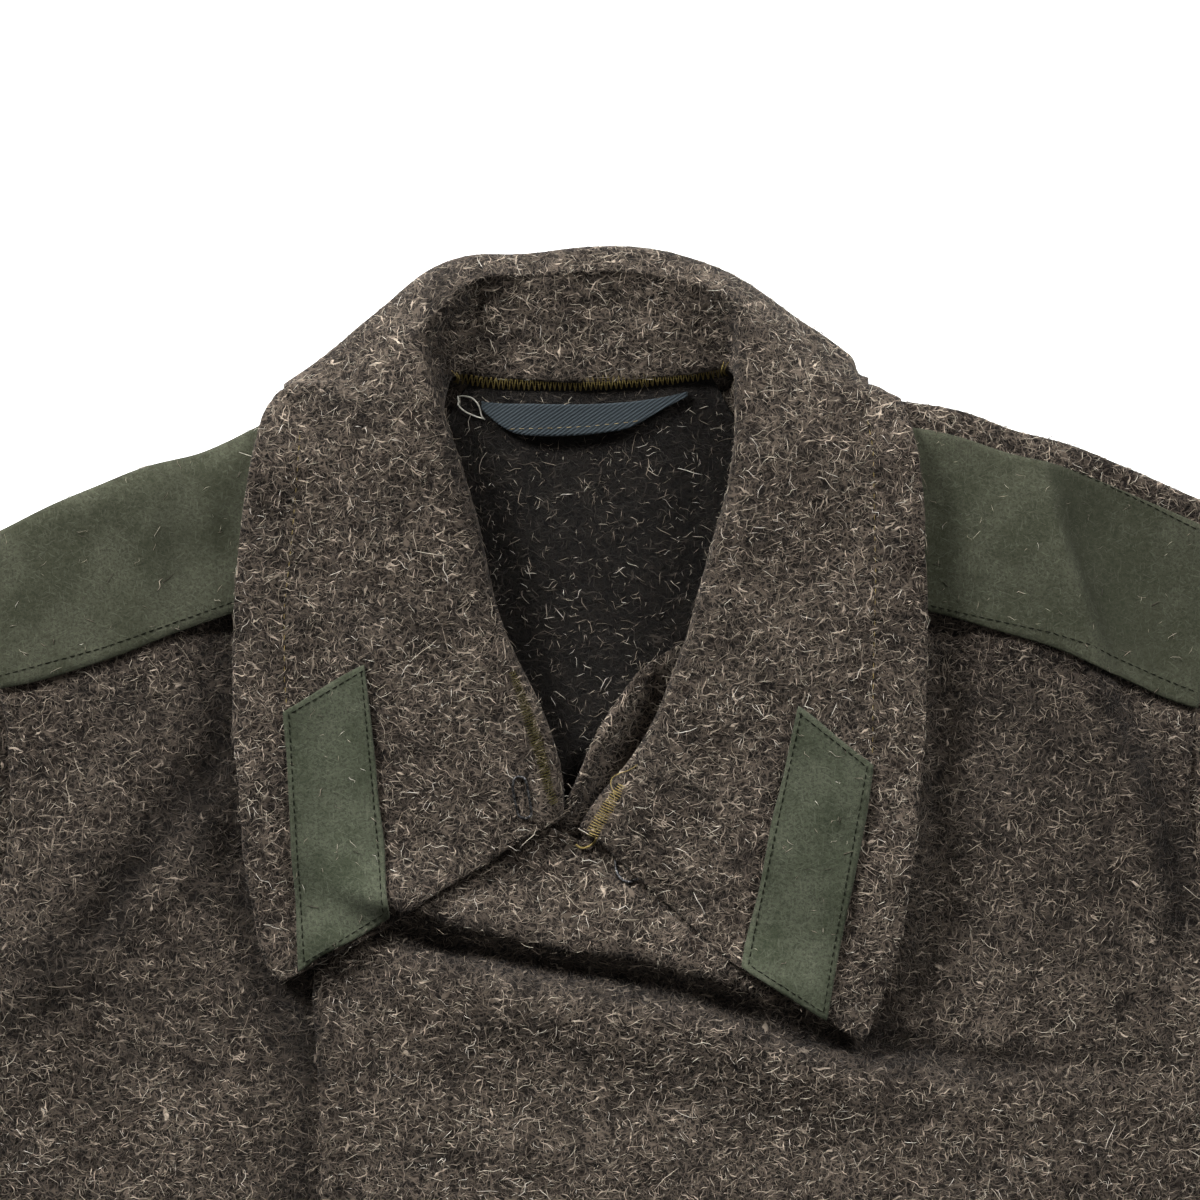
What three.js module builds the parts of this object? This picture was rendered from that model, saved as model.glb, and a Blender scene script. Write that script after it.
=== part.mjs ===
import * as THREE from 'three';

// A heavy wool greatcoat that lies flat on its back, front side up and collar open.
// Millimetres, +Z up, the collar towards +Y and the wearer's left at +X.
// The tables count from the back-neck seam at the coat's middle, on the surface it lies on.

// Driving dimensions
const clothThickness = 3;
const feltThickness = 1.5;
const tapeThickness = 1.2;
const wireThickness = 1.1;
const seamGap = 0.3;
const feltGap = 0.95;
const shoulderSeamGap = 2.2;
const sleeveSeamGap = 1.8;
const fallHollow = 2.2;
const layerHollow = 0.6;
const coatLength = 1150;
const hemHalfWidth = 388;
const bodyCentreX = 4.5;
const shoulderPoint = { x: 259, y: -70 };
const underarmPoint = { x: 289, y: -302 };
const armholeBow = 34;
const overlapEdgeX = 98;
const sleeveHalfHeight = 3;

// Heights of the middle of each cloth layer
const backLevel = clothThickness / 2;
const layerStep = clothThickness + layerHollow;
const frontLevel = backLevel + layerStep;

// The collar's fall is folded under the nape and lifts the body there
const napeLiftHeight = 3.6;
const napeLiftArea = { halfWidth: 135, sideFade: 60, lowerY: -40, lowerFade: 75 };
const shoulderPuffHeight = 2.4;
const shoulderPuffLength = 45;
const neckPointX = 66;
const neckBlend = 5;
const turnRun = 9;
const leastBand = 18;
const levelLineY = -302;

// Outermost line of the folded shoulders
const shoulderLine = [
  { x: -262, y: -71 }, { x: -242, y: -59 }, { x: -222, y: -49 }, { x: -201, y: -40 },
  { x: -180, y: -32 }, { x: -160, y: -24 }, { x: -141, y: -15.5 }, { x: -131, y: -24 },
  { x: -100, y: -14 }, { x: -66, y: -2 }, { x: 66, y: -2 }, { x: 99, y: -12 },
  { x: 125, y: -19 }, { x: 132, y: -5.5 }, { x: 150, y: -9 }, { x: 168, y: -14 },
  { x: 189, y: -19 }, { x: 209, y: -26 }, { x: 230, y: -35 }, { x: 250, y: -44 },
  { x: 268, y: -54 },
];

// Upper edge of each panel between the neck points
const backNeckline = [
  { x: -66, y: -10 }, { x: -60, y: -14 }, { x: -55, y: -7 }, { x: -50, y: 4 },
  { x: 0, y: 4 }, { x: 50, y: 7 }, { x: 55, y: -7 }, { x: 60, y: -14 }, { x: 66, y: -10 },
];
const frontRightNeckline = [
  { x: -61.5, y: -6 }, { x: -59, y: -18 }, { x: -56, y: -40 }, { x: -52, y: -62 },
  { x: -47, y: -85 }, { x: -39, y: -108 }, { x: -30, y: -130 }, { x: -22, y: -150 },
  { x: -17.5, y: -166 }, { x: -15, y: -174 }, { x: -8.6, y: -168 }, { x: -5.3, y: -159.5 },
  { x: -1.2, y: -148 }, { x: 4.5, y: -136.5 }, { x: 9, y: -129 }, { x: 20.5, y: -115 },
  { x: 45, y: -98 }, { x: 95, y: -88 },
];
const frontLeftNeckline = [
  { x: -113, y: -222 }, { x: -80, y: -206 }, { x: -45, y: -188 }, { x: -21, y: -177 },
  { x: -12, y: -181 }, { x: -4, y: -185 }, { x: -1, y: -178 }, { x: 5, y: -168 },
  { x: 17, y: -157 }, { x: 25, y: -149 }, { x: 31, y: -138 }, { x: 37, y: -126 },
  { x: 42, y: -113 }, { x: 49, y: -88 }, { x: 53, y: -74 }, { x: 56, y: -58 },
  { x: 59, y: -42 }, { x: 61, y: -26 }, { x: 61.5, y: -6 },
];

// Folds: a ridge runs along each path and fades over its width on either side of it.
// The left side is the one on the left hand when going from the path's first point to its last.
const frontRightFolds = [
  { path: [[-140, -112], [-166, -150], [-190, -181], [-206, -208], [-222, -232], [-240, -246]],
    height: 5, leftWidth: 7, rightWidth: 24 },
  { path: [[-179, -30], [-180, -60], [-177, -92]], height: 2.5, leftWidth: 6, rightWidth: 9 },
  { path: [[-152, -22], [-156, -48], [-153, -80]], height: 1.6, leftWidth: 6, rightWidth: 7 },
  { path: [[-14, -172], [-3, -154], [8, -132], [26, -113]], height: 4, leftWidth: 7, rightWidth: 7 },
  { path: [[-286, -330], [-220, -372], [-150, -396]], height: 4, leftWidth: 12, rightWidth: 16 },
  { path: [[-165, -400], [-195, -700], [-240, -1148]], height: 6, leftWidth: 20, rightWidth: 26 },
  { path: [[-262, -520], [-295, -800], [-328, -1148]], height: 5, leftWidth: 24, rightWidth: 16 },
];
const frontLeftFolds = [
  { path: [[-84, -235], [-50, -245], [-14, -251], [25, -257], [64, -267], [100, -280], [150, -288], [212, -290]],
    height: 6.5, leftWidth: 9, rightWidth: 24 },
  { path: [[-62, -206], [-20, -211], [20, -224], [62, -246]], height: 2.6, leftWidth: 12, rightWidth: 8 },
  { path: [[179, -24], [187, -49], [195, -71], [204, -89], [216, -114], [229, -139], [239, -165], [246, -200]],
    height: 4.5, leftWidth: 10, rightWidth: 30 },
  { path: [[262, -342], [205, -368], [130, -388]], height: 4.5, leftWidth: 14, rightWidth: 12 },
  { path: [[62, -430], [78, -760], [98, -1148]], height: 5, leftWidth: 18, rightWidth: 22 },
  { path: [[186, -410], [222, -720], [262, -1148]], height: 6.5, leftWidth: 24, rightWidth: 18 },
  { path: [[-60, -590], [-70, -860], [-78, -1148]], height: 3.5, leftWidth: 16, rightWidth: 20 },
];

// The collar from its right front end round the nape to its left front end.
// seam: where the stand is sewn on. roll: inner side of the roll. crest: height of the roll.
// outer: on the fall, and round the nape the fold line that shows. edge: free edge of the fall.
// lies: 1 where the fall lies on the fronts, 0 where it is folded under the back.
const collarSections = [
  { seam: [-17, -176, 12], roll: [-14, -175.5, 14], crest: 15, outer: [-81, -218, 13.5], edge: [-124, -242.5, 12], lies: 1 },
  { seam: [-19.5, -168, 12], roll: [-11, -168, 15], crest: 17, outer: [-86, -203, 13.5], edge: [-133.5, -235, 12], lies: 1 },
  { seam: [-25, -150, 12], roll: [-14, -148, 16.5], crest: 19, outer: [-88, -178, 15], edge: [-139.8, -200, 11.5], lies: 1 },
  { seam: [-33, -130, 11], roll: [-20, -131, 18], crest: 21, outer: [-91, -150, 15.5], edge: [-143.5, -165, 11], lies: 1 },
  { seam: [-42, -108, 10.5], roll: [-31.5, -110, 19], crest: 23, outer: [-94, -122, 16], edge: [-146, -130, 10.5], lies: 1 },
  { seam: [-50, -85, 10], roll: [-40.5, -85, 20], crest: 25, outer: [-97, -93, 16.5], edge: [-145.8, -95, 10.5], lies: 1 },
  { seam: [-55, -62, 10], roll: [-45, -62, 21], crest: 26.5, outer: [-99, -64, 17], edge: [-143.5, -65, 11], lies: 1 },
  { seam: [-59, -40, 11], roll: [-49.5, -41, 22], crest: 28, outer: [-101, -38, 18], edge: [-140.5, -42, 12.5], lies: 1 },
  { seam: [-62, -18, 12.5], roll: [-57.5, -18, 23], crest: 29, outer: [-104, -16, 18.5], edge: [-136.8, -25, 14], lies: 1 },
  { seam: [-61, -4, 13], roll: [-63.5, -3, 23], crest: 29, outer: [-116.5, 1, 15], edge: [-132, -8, 11], lies: 0.5 },
  { seam: [-59.5, 1, 12.5], roll: [-65, 3, 22.5], crest: 28.5, outer: [-120, 2.5, 10], edge: [-126.5, -10, 2], lies: 0 },
  { seam: [-58, 5, 12], roll: [-66, 8, 22], crest: 28, outer: [-116.5, 7, 9], edge: [-117, -24, 1.5], lies: 0 },
  { seam: [-52, 7, 10], roll: [-66, 20, 20], crest: 26, outer: [-97.5, 22.5, 8.5], edge: [-86, -29, 1.5], lies: 0 },
  { seam: [-46, 6, 9], roll: [-56, 32, 18], crest: 24, outer: [-77, 40, 8.5], edge: [-64, -30, 1.5], lies: 0 },
  { seam: [-40, 5, 8.6], roll: [-43, 43, 15], crest: 19, outer: [-56, 54.5, 8.5], edge: [-48, -31, 1.5], lies: 0 },
  { seam: [-22, 3.5, 8.5], roll: [-24, 44, 14], crest: 16, outer: [-27, 54.5, 8], edge: [-24, -32, 1.5], lies: 0 },
  { seam: [4, 3, 8.5], roll: [4, 46, 14], crest: 16.5, outer: [4, 58.8, 8], edge: [2, -32, 1.5], lies: 0 },
  { seam: [28, 4.5, 8.5], roll: [30, 44, 15], crest: 17, outer: [34, 56.5, 8], edge: [28, -31, 1.5], lies: 0 },
  { seam: [46, 7, 9], roll: [52, 38, 17], crest: 21, outer: [61, 45.5, 8.5], edge: [54, -30, 1.5], lies: 0 },
  { seam: [55, 9, 10], roll: [61, 26, 20], crest: 26, outer: [80, 31, 8.5], edge: [72, -30, 1.5], lies: 0 },
  { seam: [60, 6, 12], roll: [61, 14, 22], crest: 28, outer: [100, 18.5, 8.5], edge: [96, -28, 1.5], lies: 0 },
  { seam: [61.5, 1, 13], roll: [60.3, 6, 22.5], crest: 28.5, outer: [111, 9.5, 9], edge: [115, -6, 1.5], lies: 0 },
  { seam: [63, -6, 13.5], roll: [59.5, -4, 23], crest: 29, outer: [114, 5, 15], edge: [124.5, -3, 11], lies: 0.5 },
  { seam: [64.5, -22, 13], roll: [59.5, -22, 23], crest: 29, outer: [105, -12, 18.5], edge: [130.5, -14, 15.5], lies: 1 },
  { seam: [62.5, -42, 12.5], roll: [56.5, -42, 22], crest: 28, outer: [101, -39, 18.5], edge: [135, -38, 12.5], lies: 1 },
  { seam: [58, -62, 12], roll: [51.5, -60, 21], crest: 26.5, outer: [98, -63, 17.5], edge: [136.3, -66, 11], lies: 1 },
  { seam: [52, -86, 12], roll: [45, -85, 20], crest: 25, outer: [94, -92, 17], edge: [137.4, -95, 11], lies: 1 },
  { seam: [43.5, -112, 12], roll: [37, -112, 19], crest: 23.5, outer: [90, -122, 16.5], edge: [137.2, -125, 11], lies: 1 },
  { seam: [34, -136, 12], roll: [26.8, -136, 18], crest: 21.5, outer: [85, -152, 15], edge: [135.2, -155, 11], lies: 1 },
  { seam: [23, -154, 12], roll: [16.5, -154, 17], crest: 19.5, outer: [77, -182, 15], edge: [131.6, -190, 12], lies: 1 },
  { seam: [9, -167, 12], roll: [3.5, -167, 16], crest: 17.5, outer: [66, -211, 15], edge: [125.5, -232, 13], lies: 1 },
  { seam: [-2, -183, 12], roll: [-3.5, -178.5, 14.5], crest: 15.5, outer: [52, -229, 15], edge: [112, -268, 14], lies: 1 },
];
const crestShare = 0.16;
const underShare = 0.22;
const underSag = 0.15;

// Felt pieces
const shoulderPatches = {
  right: { innerX: -131, firstRow: 1, topShare: 0,
    lower: [{ x: -256, y: -123 }, { x: -242, y: -120 }, { x: -200, y: -108.5 }, { x: -166, y: -96.5 },
      { x: -145, y: -89 }, { x: -131, y: -86 }, { x: -68, y: -110 }, { x: -40, y: -150 }, { x: -14, y: -205 },
      { x: 22, y: -160 }, { x: 95, y: -130 }] },
  left: { innerX: 125, firstRow: 3, topShare: 0.4,
    lower: [{ x: -113, y: -245 }, { x: -4, y: -214 }, { x: 30, y: -190 }, { x: 62, y: -160 },
      { x: 99, y: -120 }, { x: 125, y: -88 }, { x: 137, y: -90 }, { x: 163, y: -96.5 }, { x: 188, y: -102 },
      { x: 204, y: -107 }, { x: 217, y: -113 }, { x: 235, y: -121 }, { x: 250, y: -127 }, { x: 265, y: -132 }] },
};
const collarTabs = {
  right: { upperInner: [-91, -111.5], upperOuter: [-125, -131.5], lowerOuter: [-118.5, -238], lowerInner: [-81.5, -215] },
  left: { upperInner: [84, -128.5], upperOuter: [115, -153], lowerOuter: [96.5, -257.5], lowerInner: [61.8, -235] },
};
const hangerOutline = [
  { x: -45, top: -4.2, bottom: -7.5 }, { x: -38, top: -5.5, bottom: -14 }, { x: -30, top: -5.8, bottom: -18.2 },
  { x: -16, top: -5.8, bottom: -18.9 }, { x: 0, top: -5.8, bottom: -18.6 }, { x: 16, top: -5, bottom: -16.2 },
  { x: 24, top: -4, bottom: -11 }, { x: 33, top: -2.6, bottom: -6 }, { x: 40, top: -0.6, bottom: -2.6 },
];
const hangerArch = 2;
const eyePath = [[-25.6, -173], [-28.8, -160.5], [-31.2, -159.8], [-31.6, -162], [-28.2, -174]];
const hookPath = [[10.4, -194], [11.4, -199.2], [14.6, -202], [18.2, -201], [19.4, -199.2]];

// Materials
const wool = new THREE.MeshStandardMaterial({ color: 0x4a423b, roughness: 0.95, metalness: 0 });
const felt = new THREE.MeshStandardMaterial({ color: 0x505443, roughness: 0.9, metalness: 0 });
const twill = new THREE.MeshStandardMaterial({ color: 0x3e484c, roughness: 0.8, metalness: 0 });
const steel = new THREE.MeshStandardMaterial({ color: 0x4c4a48, roughness: 0.35, metalness: 0.9 });

function mix(from, to, share) {
  return from + (to - from) * share;
}

function smooth(from, to, value) {
  return THREE.MathUtils.smoothstep((value - from) / (to - from), 0, 1);
}

// Value of one column of a table at a place along another, straight between its rows
function readTable(table, key, column, place) {
  const last = table.length - 1;
  if (place <= table[0][key]) return table[0][column];
  if (place >= table[last][key]) return table[last][column];
  const next = table.findIndex((row) => row[key] > place);
  const before = table[next - 1];
  const after = table[next];
  return mix(before[column], after[column], (place - before[key]) / (after[key] - before[key]));
}

// Evenly spread values between breaks, with the given number of steps in each stretch
function spread(breaks, steps) {
  const values = [breaks[0]];
  steps.forEach((count, stretch) => {
    for (let step = 1; step <= count; step += 1) {
      values.push(mix(breaks[stretch], breaks[stretch + 1], step / count));
    }
  });
  return values;
}

// Half width of the body at a height: the armhole's curve, then the flared side seam
function halfWidth(y) {
  if (y >= shoulderPoint.y) return shoulderPoint.x;
  if (y > underarmPoint.y) {
    const share = (y - shoulderPoint.y) / (underarmPoint.y - shoulderPoint.y);
    return mix(shoulderPoint.x, underarmPoint.x, share) - armholeBow * Math.sin(Math.PI * share);
  }
  return mix(underarmPoint.x, hemHalfWidth, (y - underarmPoint.y) / (-coatLength - underarmPoint.y));
}

function sideEdge(side, y) {
  return bodyCentreX + side * (halfWidth(y) - seamGap);
}

// Sideways move of a panel's thread line so that its outer one follows the side edge
function sideShift(side, topX, y) {
  if (side * topX < neckPointX) return 0;
  const reach = Math.abs(sideEdge(side, 0)) - neckPointX;
  const share = (Math.abs(topX) - neckPointX) / reach;
  return share * (sideEdge(side, y) - sideEdge(side, 0));
}

// Height of a fold's ridge at a point
function foldHeight(fold, x, y) {
  let nearest = Infinity;
  let height = 0;
  const stretches = fold.path.length - 1;
  for (let index = 0; index < stretches; index += 1) {
    const [ax, ay] = fold.path[index];
    const [bx, by] = fold.path[index + 1];
    const lengthSquared = (bx - ax) ** 2 + (by - ay) ** 2;
    const along = THREE.MathUtils.clamp(((x - ax) * (bx - ax) + (y - ay) * (by - ay)) / lengthSquared, 0, 1);
    const distance = Math.hypot(x - mix(ax, bx, along), y - mix(ay, by, along));
    if (distance < nearest) {
      nearest = distance;
      const onLeft = (bx - ax) * (y - ay) - (by - ay) * (x - ax) > 0;
      const width = onLeft ? fold.leftWidth : fold.rightWidth;
      const place = (index + along) / stretches;
      const taper = smooth(0, 0.22, place + 0.04) * smooth(1, 0.78, place - 0.04);
      height = fold.height * taper * Math.exp(-((distance / width) ** 2));
    }
  }
  return height;
}

function foldsHeight(folds, x, y) {
  return folds.reduce((total, fold) => total + foldHeight(fold, x, y), 0);
}

function napeLift(x, y) {
  const area = napeLiftArea;
  const across = smooth(area.halfWidth + area.sideFade, area.halfWidth, Math.abs(x));
  return napeLiftHeight * across * smooth(area.lowerY - area.lowerFade, area.lowerY, y);
}

function shoulderPuff(x, y) {
  const below = readTable(shoulderLine, 'x', 'y', x) - y;
  return shoulderPuffHeight * smooth(70, 105, Math.abs(x)) * smooth(shoulderPuffLength, 0, below);
}

function backHeight(x, y) {
  return backLevel + napeLift(x, y);
}

function frontRightHeight(x, y) {
  return frontLevel + napeLift(x, y) + shoulderPuff(x, y) + foldsHeight(frontRightFolds, x, y);
}

// The left front rests on the back, and on the right front where that goes under it
function frontLeftHeight(x, y) {
  const onUnderlap = smooth(overlapEdgeX + 30, overlapEdgeX + 1, x) * smooth(-50, -74, y);
  const onBack = frontLevel + napeLift(x, y) + shoulderPuff(x, y);
  const rest = mix(onBack, Math.max(onBack, frontRightHeight(x, y)) + layerStep, onUnderlap);
  return rest + foldsHeight(frontLeftFolds, x, y);
}

// Height of a cross line on a thread line. fall 0 is the upper edge, 1 the shoulder patch's lower line,
// 2 a level line under the arms and 3 the hem.
function crossLineY(topX, topY, fall) {
  const patchY = readTable(topX < 0 ? shoulderPatches.right.lower : shoulderPatches.left.lower, 'x', 'y', topX);
  const levels = [topY, Math.min(patchY, topY - leastBand), levelLineY, -coatLength];
  const band = Math.min(Math.floor(fall), 2);
  return mix(levels[band], levels[band + 1], fall - band);
}

// A front panel's middle surface. turn goes from 0 under the shoulder fold to 1 on top of it, and fall
// down from there. Between the neck points the panel has no shoulder fold.
function frontPoint(panel, topX, turn, fall) {
  const line = readTable(shoulderLine, 'x', 'y', topX);
  const under = backHeight(topX, line);
  const radius = (panel.height(topX, line) - under) / 2;
  const neckY = readTable(panel.neckline, 'x', 'y', topX);
  const wraps = smooth(neckPointX - neckBlend, neckPointX, panel.side * topX);
  const topY = mix(neckY - turnRun, line - clothThickness / 2 - radius, wraps);
  const y = crossLineY(topX, topY, fall);
  const x = topX + sideShift(panel.side, topX, y) + panel.edgeDrift(topX, y);
  const flatY = y + (1 - turn) * turnRun;
  const flat = new THREE.Vector3(x, flatY, panel.height(x, flatY));
  const angle = Math.PI * (turn - 0.5);
  const turnedZ = turn < 1 ? under + radius + radius * Math.sin(angle) : panel.height(x, y);
  return flat.lerp(new THREE.Vector3(x, y + radius * Math.cos(angle), turnedZ), wraps);
}

const frontRightPanel = {
  side: -1,
  neckline: frontRightNeckline,
  height: frontRightHeight,
  edgeDrift: () => 0,
};
const frontLeftPanel = {
  side: 1,
  neckline: frontLeftNeckline,
  height: frontLeftHeight,
  edgeDrift: (topX, y) => 4.5 * smooth(-60, -113, topX) * smooth(-235, -345, y),
};

// Thread lines, closer together at the neck opening, the underlap's edge and the collar's ends
const rightSideColumns = spread([sideEdge(-1, 0), -141, -131, -68], [5, 1, 3]);
const leftSideBreaks = [68, 99, 125, 132, sideEdge(1, 0)];
const leftSideColumns = spread(leftSideBreaks, [2, 2, 1, 12]);
const frontRightColumns = [...rightSideColumns, ...spread([-60, -14, 22, 95], [8, 5, 3])];
const frontLeftColumns = [...spread([-113, -22, 2, 62], [4, 4, 9]), ...leftSideColumns];
const backNeckColumns = spread([-60, -50, 50, 60], [1, 4, 1]);
const backColumns = [...rightSideColumns, ...backNeckColumns, ...spread(leftSideBreaks, [2, 2, 1, 6])];
const turnRows = [0, 1 / 3, 2 / 3];
const patchRows = 5;
const frontRows = spread([0, 1, 2, 3], [patchRows, 12, 6]);
const backRows = spread([0, 1, 2, 3], [patchRows, 6, 6]);

function frontGrid(panel, columns) {
  const rows = turnRows.map((turn) => ({ turn, fall: 0 }));
  frontRows.forEach((fall) => rows.push({ turn: 1, fall }));
  return rows.map(({ turn, fall }) => columns.map((topX) => frontPoint(panel, topX, turn, fall)));
}

function backGrid() {
  return backRows.map((fall) => backColumns.map((topX) => {
    const line = readTable(shoulderLine, 'x', 'y', topX);
    const puffed = (topX < 0 ? frontRightHeight : frontLeftHeight)(topX, line);
    const radius = (puffed - backHeight(topX, line)) / 2;
    const atShoulder = line - clothThickness / 2 - radius - shoulderSeamGap;
    const onNeck = Math.abs(topX) < neckPointX;
    const topY = onNeck ? readTable(backNeckline, 'x', 'y', topX) : atShoulder;
    const y = crossLineY(topX, topY, fall);
    const x = topX + sideShift(Math.sign(topX), topX, y);
    return new THREE.Vector3(x, y, backHeight(x, y));
  }));
}

// Height and slope of the uppermost layer of a grid at a place, or null beside the grid
function surfaceAt(grid, x, y) {
  let best = null;
  for (let row = 0; row < grid.length - 1; row += 1) {
    for (let column = 0; column < grid[row].length - 1; column += 1) {
      const a = grid[row][column];
      const b = grid[row][column + 1];
      const c = grid[row + 1][column + 1];
      const d = grid[row + 1][column];
      [[a, b, c], [a, c, d]].forEach(([p, q, r]) => {
        const area = (q.x - p.x) * (r.y - p.y) - (r.x - p.x) * (q.y - p.y);
        if (Math.abs(area) < 1e-6) return;
        const s = ((x - p.x) * (r.y - p.y) - (r.x - p.x) * (y - p.y)) / area;
        const t = ((q.x - p.x) * (y - p.y) - (x - p.x) * (q.y - p.y)) / area;
        if (s < -1e-6 || t < -1e-6 || s + t > 1 + 1e-6) return;
        const z = p.z + s * (q.z - p.z) + t * (r.z - p.z);
        if (best && best.point.z >= z) return;
        const normal = new THREE.Vector3().crossVectors(q.clone().sub(p), r.clone().sub(p)).normalize();
        if (normal.z < 0) normal.negate();
        best = { point: new THREE.Vector3(x, y, z), normal };
      });
    }
  }
  return best;
}

// Middle points of a piece that lies on the uppermost of some cloth grids, one for each place
function layOn(grids, thickness, places) {
  const stack = clothThickness / 2 + feltGap + thickness / 2;
  return places.map((row) => row.map(([x, y]) => {
    const layers = grids.map((grid) => surfaceAt(grid, x, y)).filter((layer) => layer);
    const under = layers.reduce((best, layer) => (layer.point.z > best.point.z ? layer : best));
    return under.point.addScaledVector(under.normal, stack);
  }));
}

function curvePoint(controls, place) {
  const scaled = place * (controls.length - 1);
  const index = Math.min(Math.floor(scaled), controls.length - 2);
  const share = scaled - index;
  const before = controls[Math.max(index - 1, 0)];
  const after = controls[Math.min(index + 2, controls.length - 1)];
  const start = controls[index];
  const end = controls[index + 1];
  const value = (axis) => {
    const inSlope = (end[axis] - before[axis]) / 2;
    const outSlope = (after[axis] - start[axis]) / 2;
    const square = share * share;
    const cube = square * share;
    return (2 * cube - 3 * square + 1) * start[axis] + (cube - 2 * square + share) * inSlope
      + (3 * square - 2 * cube) * end[axis] + (cube - square) * outSlope;
  };
  return new THREE.Vector3(value('x'), value('y'), value('z'));
}

// Control points of one collar section, from the seam over the roll to the free edge
function collarControls(section) {
  const seam = new THREE.Vector3(...section.seam);
  const roll = new THREE.Vector3(...section.roll);
  const outer = new THREE.Vector3(...section.outer);
  const edge = new THREE.Vector3(...section.edge);
  const crest = roll.clone().lerp(outer, crestShare).setZ(section.crest);
  const under = outer.clone().lerp(edge, underShare).setZ(mix(edge.z, outer.z, underSag));
  return [seam, roll, crest, outer, under, edge];
}

const collarRows = 50;
const collarPlaces = spread([0, 0.4, 0.6, 1], [4, 4, 5]);

// The fall keeps clear of the layers that it lies on
function liftOver(point, layers) {
  layers.forEach(({ grid, thickness }) => {
    const under = surfaceAt(grid, point.x, point.y);
    if (!under) return;
    const stack = (thickness + clothThickness) / 2 + seamGap;
    point.z = Math.max(point.z, under.point.z + stack / under.normal.z + fallHollow);
  });
}

function collarGrid(layers) {
  const sections = collarSections.map(collarControls);
  const overs = collarSections.map(({ lies }) => new THREE.Vector3(lies, 0, 0));
  return spread([0, 1], [collarRows]).map((along) => collarPlaces.map((place) => {
    const line = sections[0].map((_, control) => curvePoint(sections.map((section) => section[control]), along));
    const point = curvePoint(line, place);
    if (curvePoint(overs, along).x > 0.3) liftOver(point, layers);
    point.z = Math.max(point.z, backLevel);
    return point;
  }));
}

// Outward directions of a grid's points
function gridNormals(grid, closed) {
  const rows = grid.length;
  const columns = grid[0].length;
  return grid.map((line, row) => line.map((_, column) => {
    const up = grid[Math.max(row - 1, 0)][column];
    const down = grid[Math.min(row + 1, rows - 1)][column];
    const left = closed ? grid[row][(column + columns - 1) % columns] : grid[row][Math.max(column - 1, 0)];
    const right = closed ? grid[row][(column + 1) % columns] : grid[row][Math.min(column + 1, columns - 1)];
    return new THREE.Vector3().crossVectors(right.clone().sub(left), up.clone().sub(down)).normalize();
  }));
}

// A wall of cloth with a grid of points in its middle; a closed grid is a tube with open ends
function clothWall(grid, thickness, closed = false) {
  const rows = grid.length;
  const columns = grid[0].length;
  const normals = gridNormals(grid, closed);
  const positions = [];
  [1, -1].forEach((side) => grid.forEach((line, row) => line.forEach((point, column) => {
    positions.push(...point.clone().addScaledVector(normals[row][column], (side * thickness) / 2).toArray());
  })));
  const indices = [];
  const at = (face, row, column) => face * rows * columns + row * columns + (column % columns);
  const quad = (a, b, c, d) => indices.push(a, b, c, a, c, d);
  const columnQuads = closed ? columns : columns - 1;
  for (let row = 0; row < rows - 1; row += 1) {
    for (let column = 0; column < columnQuads; column += 1) {
      quad(at(0, row + 1, column), at(0, row + 1, column + 1), at(0, row, column + 1), at(0, row, column));
      quad(at(1, row, column), at(1, row, column + 1), at(1, row + 1, column + 1), at(1, row + 1, column));
    }
  }
  for (let column = 0; column < columnQuads; column += 1) {
    quad(at(0, 0, column), at(0, 0, column + 1), at(1, 0, column + 1), at(1, 0, column));
    const end = rows - 1;
    quad(at(1, end, column), at(1, end, column + 1), at(0, end, column + 1), at(0, end, column));
  }
  for (let row = 0; row < rows - 1 && !closed; row += 1) {
    const end = columns - 1;
    quad(at(1, row, 0), at(1, row + 1, 0), at(0, row + 1, 0), at(0, row, 0));
    quad(at(0, row, end), at(0, row + 1, end), at(1, row + 1, end), at(1, row, end));
  }
  return facingOut(positions, indices);
}

function facingOut(positions, indices) {
  const corner = (index) => new THREE.Vector3().fromArray(positions, indices[index] * 3);
  let volume = 0;
  for (let index = 0; index < indices.length; index += 3) {
    volume += corner(index).dot(corner(index + 1).cross(corner(index + 2)));
  }
  if (volume < 0) indices.reverse();
  const geometry = new THREE.BufferGeometry();
  geometry.setAttribute('position', new THREE.Float32BufferAttribute(positions, 3));
  geometry.setIndex(indices);
  geometry.computeVertexNormals();
  return geometry;
}

// Sleeve outlines for one side, measured from the body's centre line
const sleeveOuter = [
  { s: 0, x: 259, y: -70 }, { s: 0.06, x: 295, y: -85 }, { s: 0.15, x: 347, y: -113 },
  { s: 0.3, x: 418, y: -168 }, { s: 0.45, x: 470, y: -244 }, { s: 0.6, x: 512, y: -386 },
  { s: 1, x: 575, y: -622 },
];
const sleeveInner = [
  { s: 0, x: 291.5, y: -301 }, { s: 0.06, x: 296, y: -314 }, { s: 0.15, x: 301, y: -328 },
  { s: 0.3, x: 311, y: -354 }, { s: 0.45, x: 328, y: -402 }, { s: 0.6, x: 350, y: -462 },
  { s: 1, x: 428, y: -677 },
];
const sleeveFolds = [
  { s: 0.24, across: 0.35, depth: 1.6, width: 0.035 },
  { s: 0.47, across: 0.7, depth: 1.8, width: 0.03 },
  { s: 0.55, across: 0.25, depth: 1.5, width: 0.03 },
  { s: 0.78, across: 0.6, depth: 1.4, width: 0.04 },
];
const capLength = 0.2;

function sleeveDip(s, across) {
  return sleeveFolds.reduce((total, fold) => {
    const along = s - fold.s - 0.05 * (across - fold.across);
    const reach = Math.exp(-(((across - fold.across) / 0.3) ** 2));
    return total + fold.depth * reach * Math.exp(-((along / fold.width) ** 2));
  }, 0);
}

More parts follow.
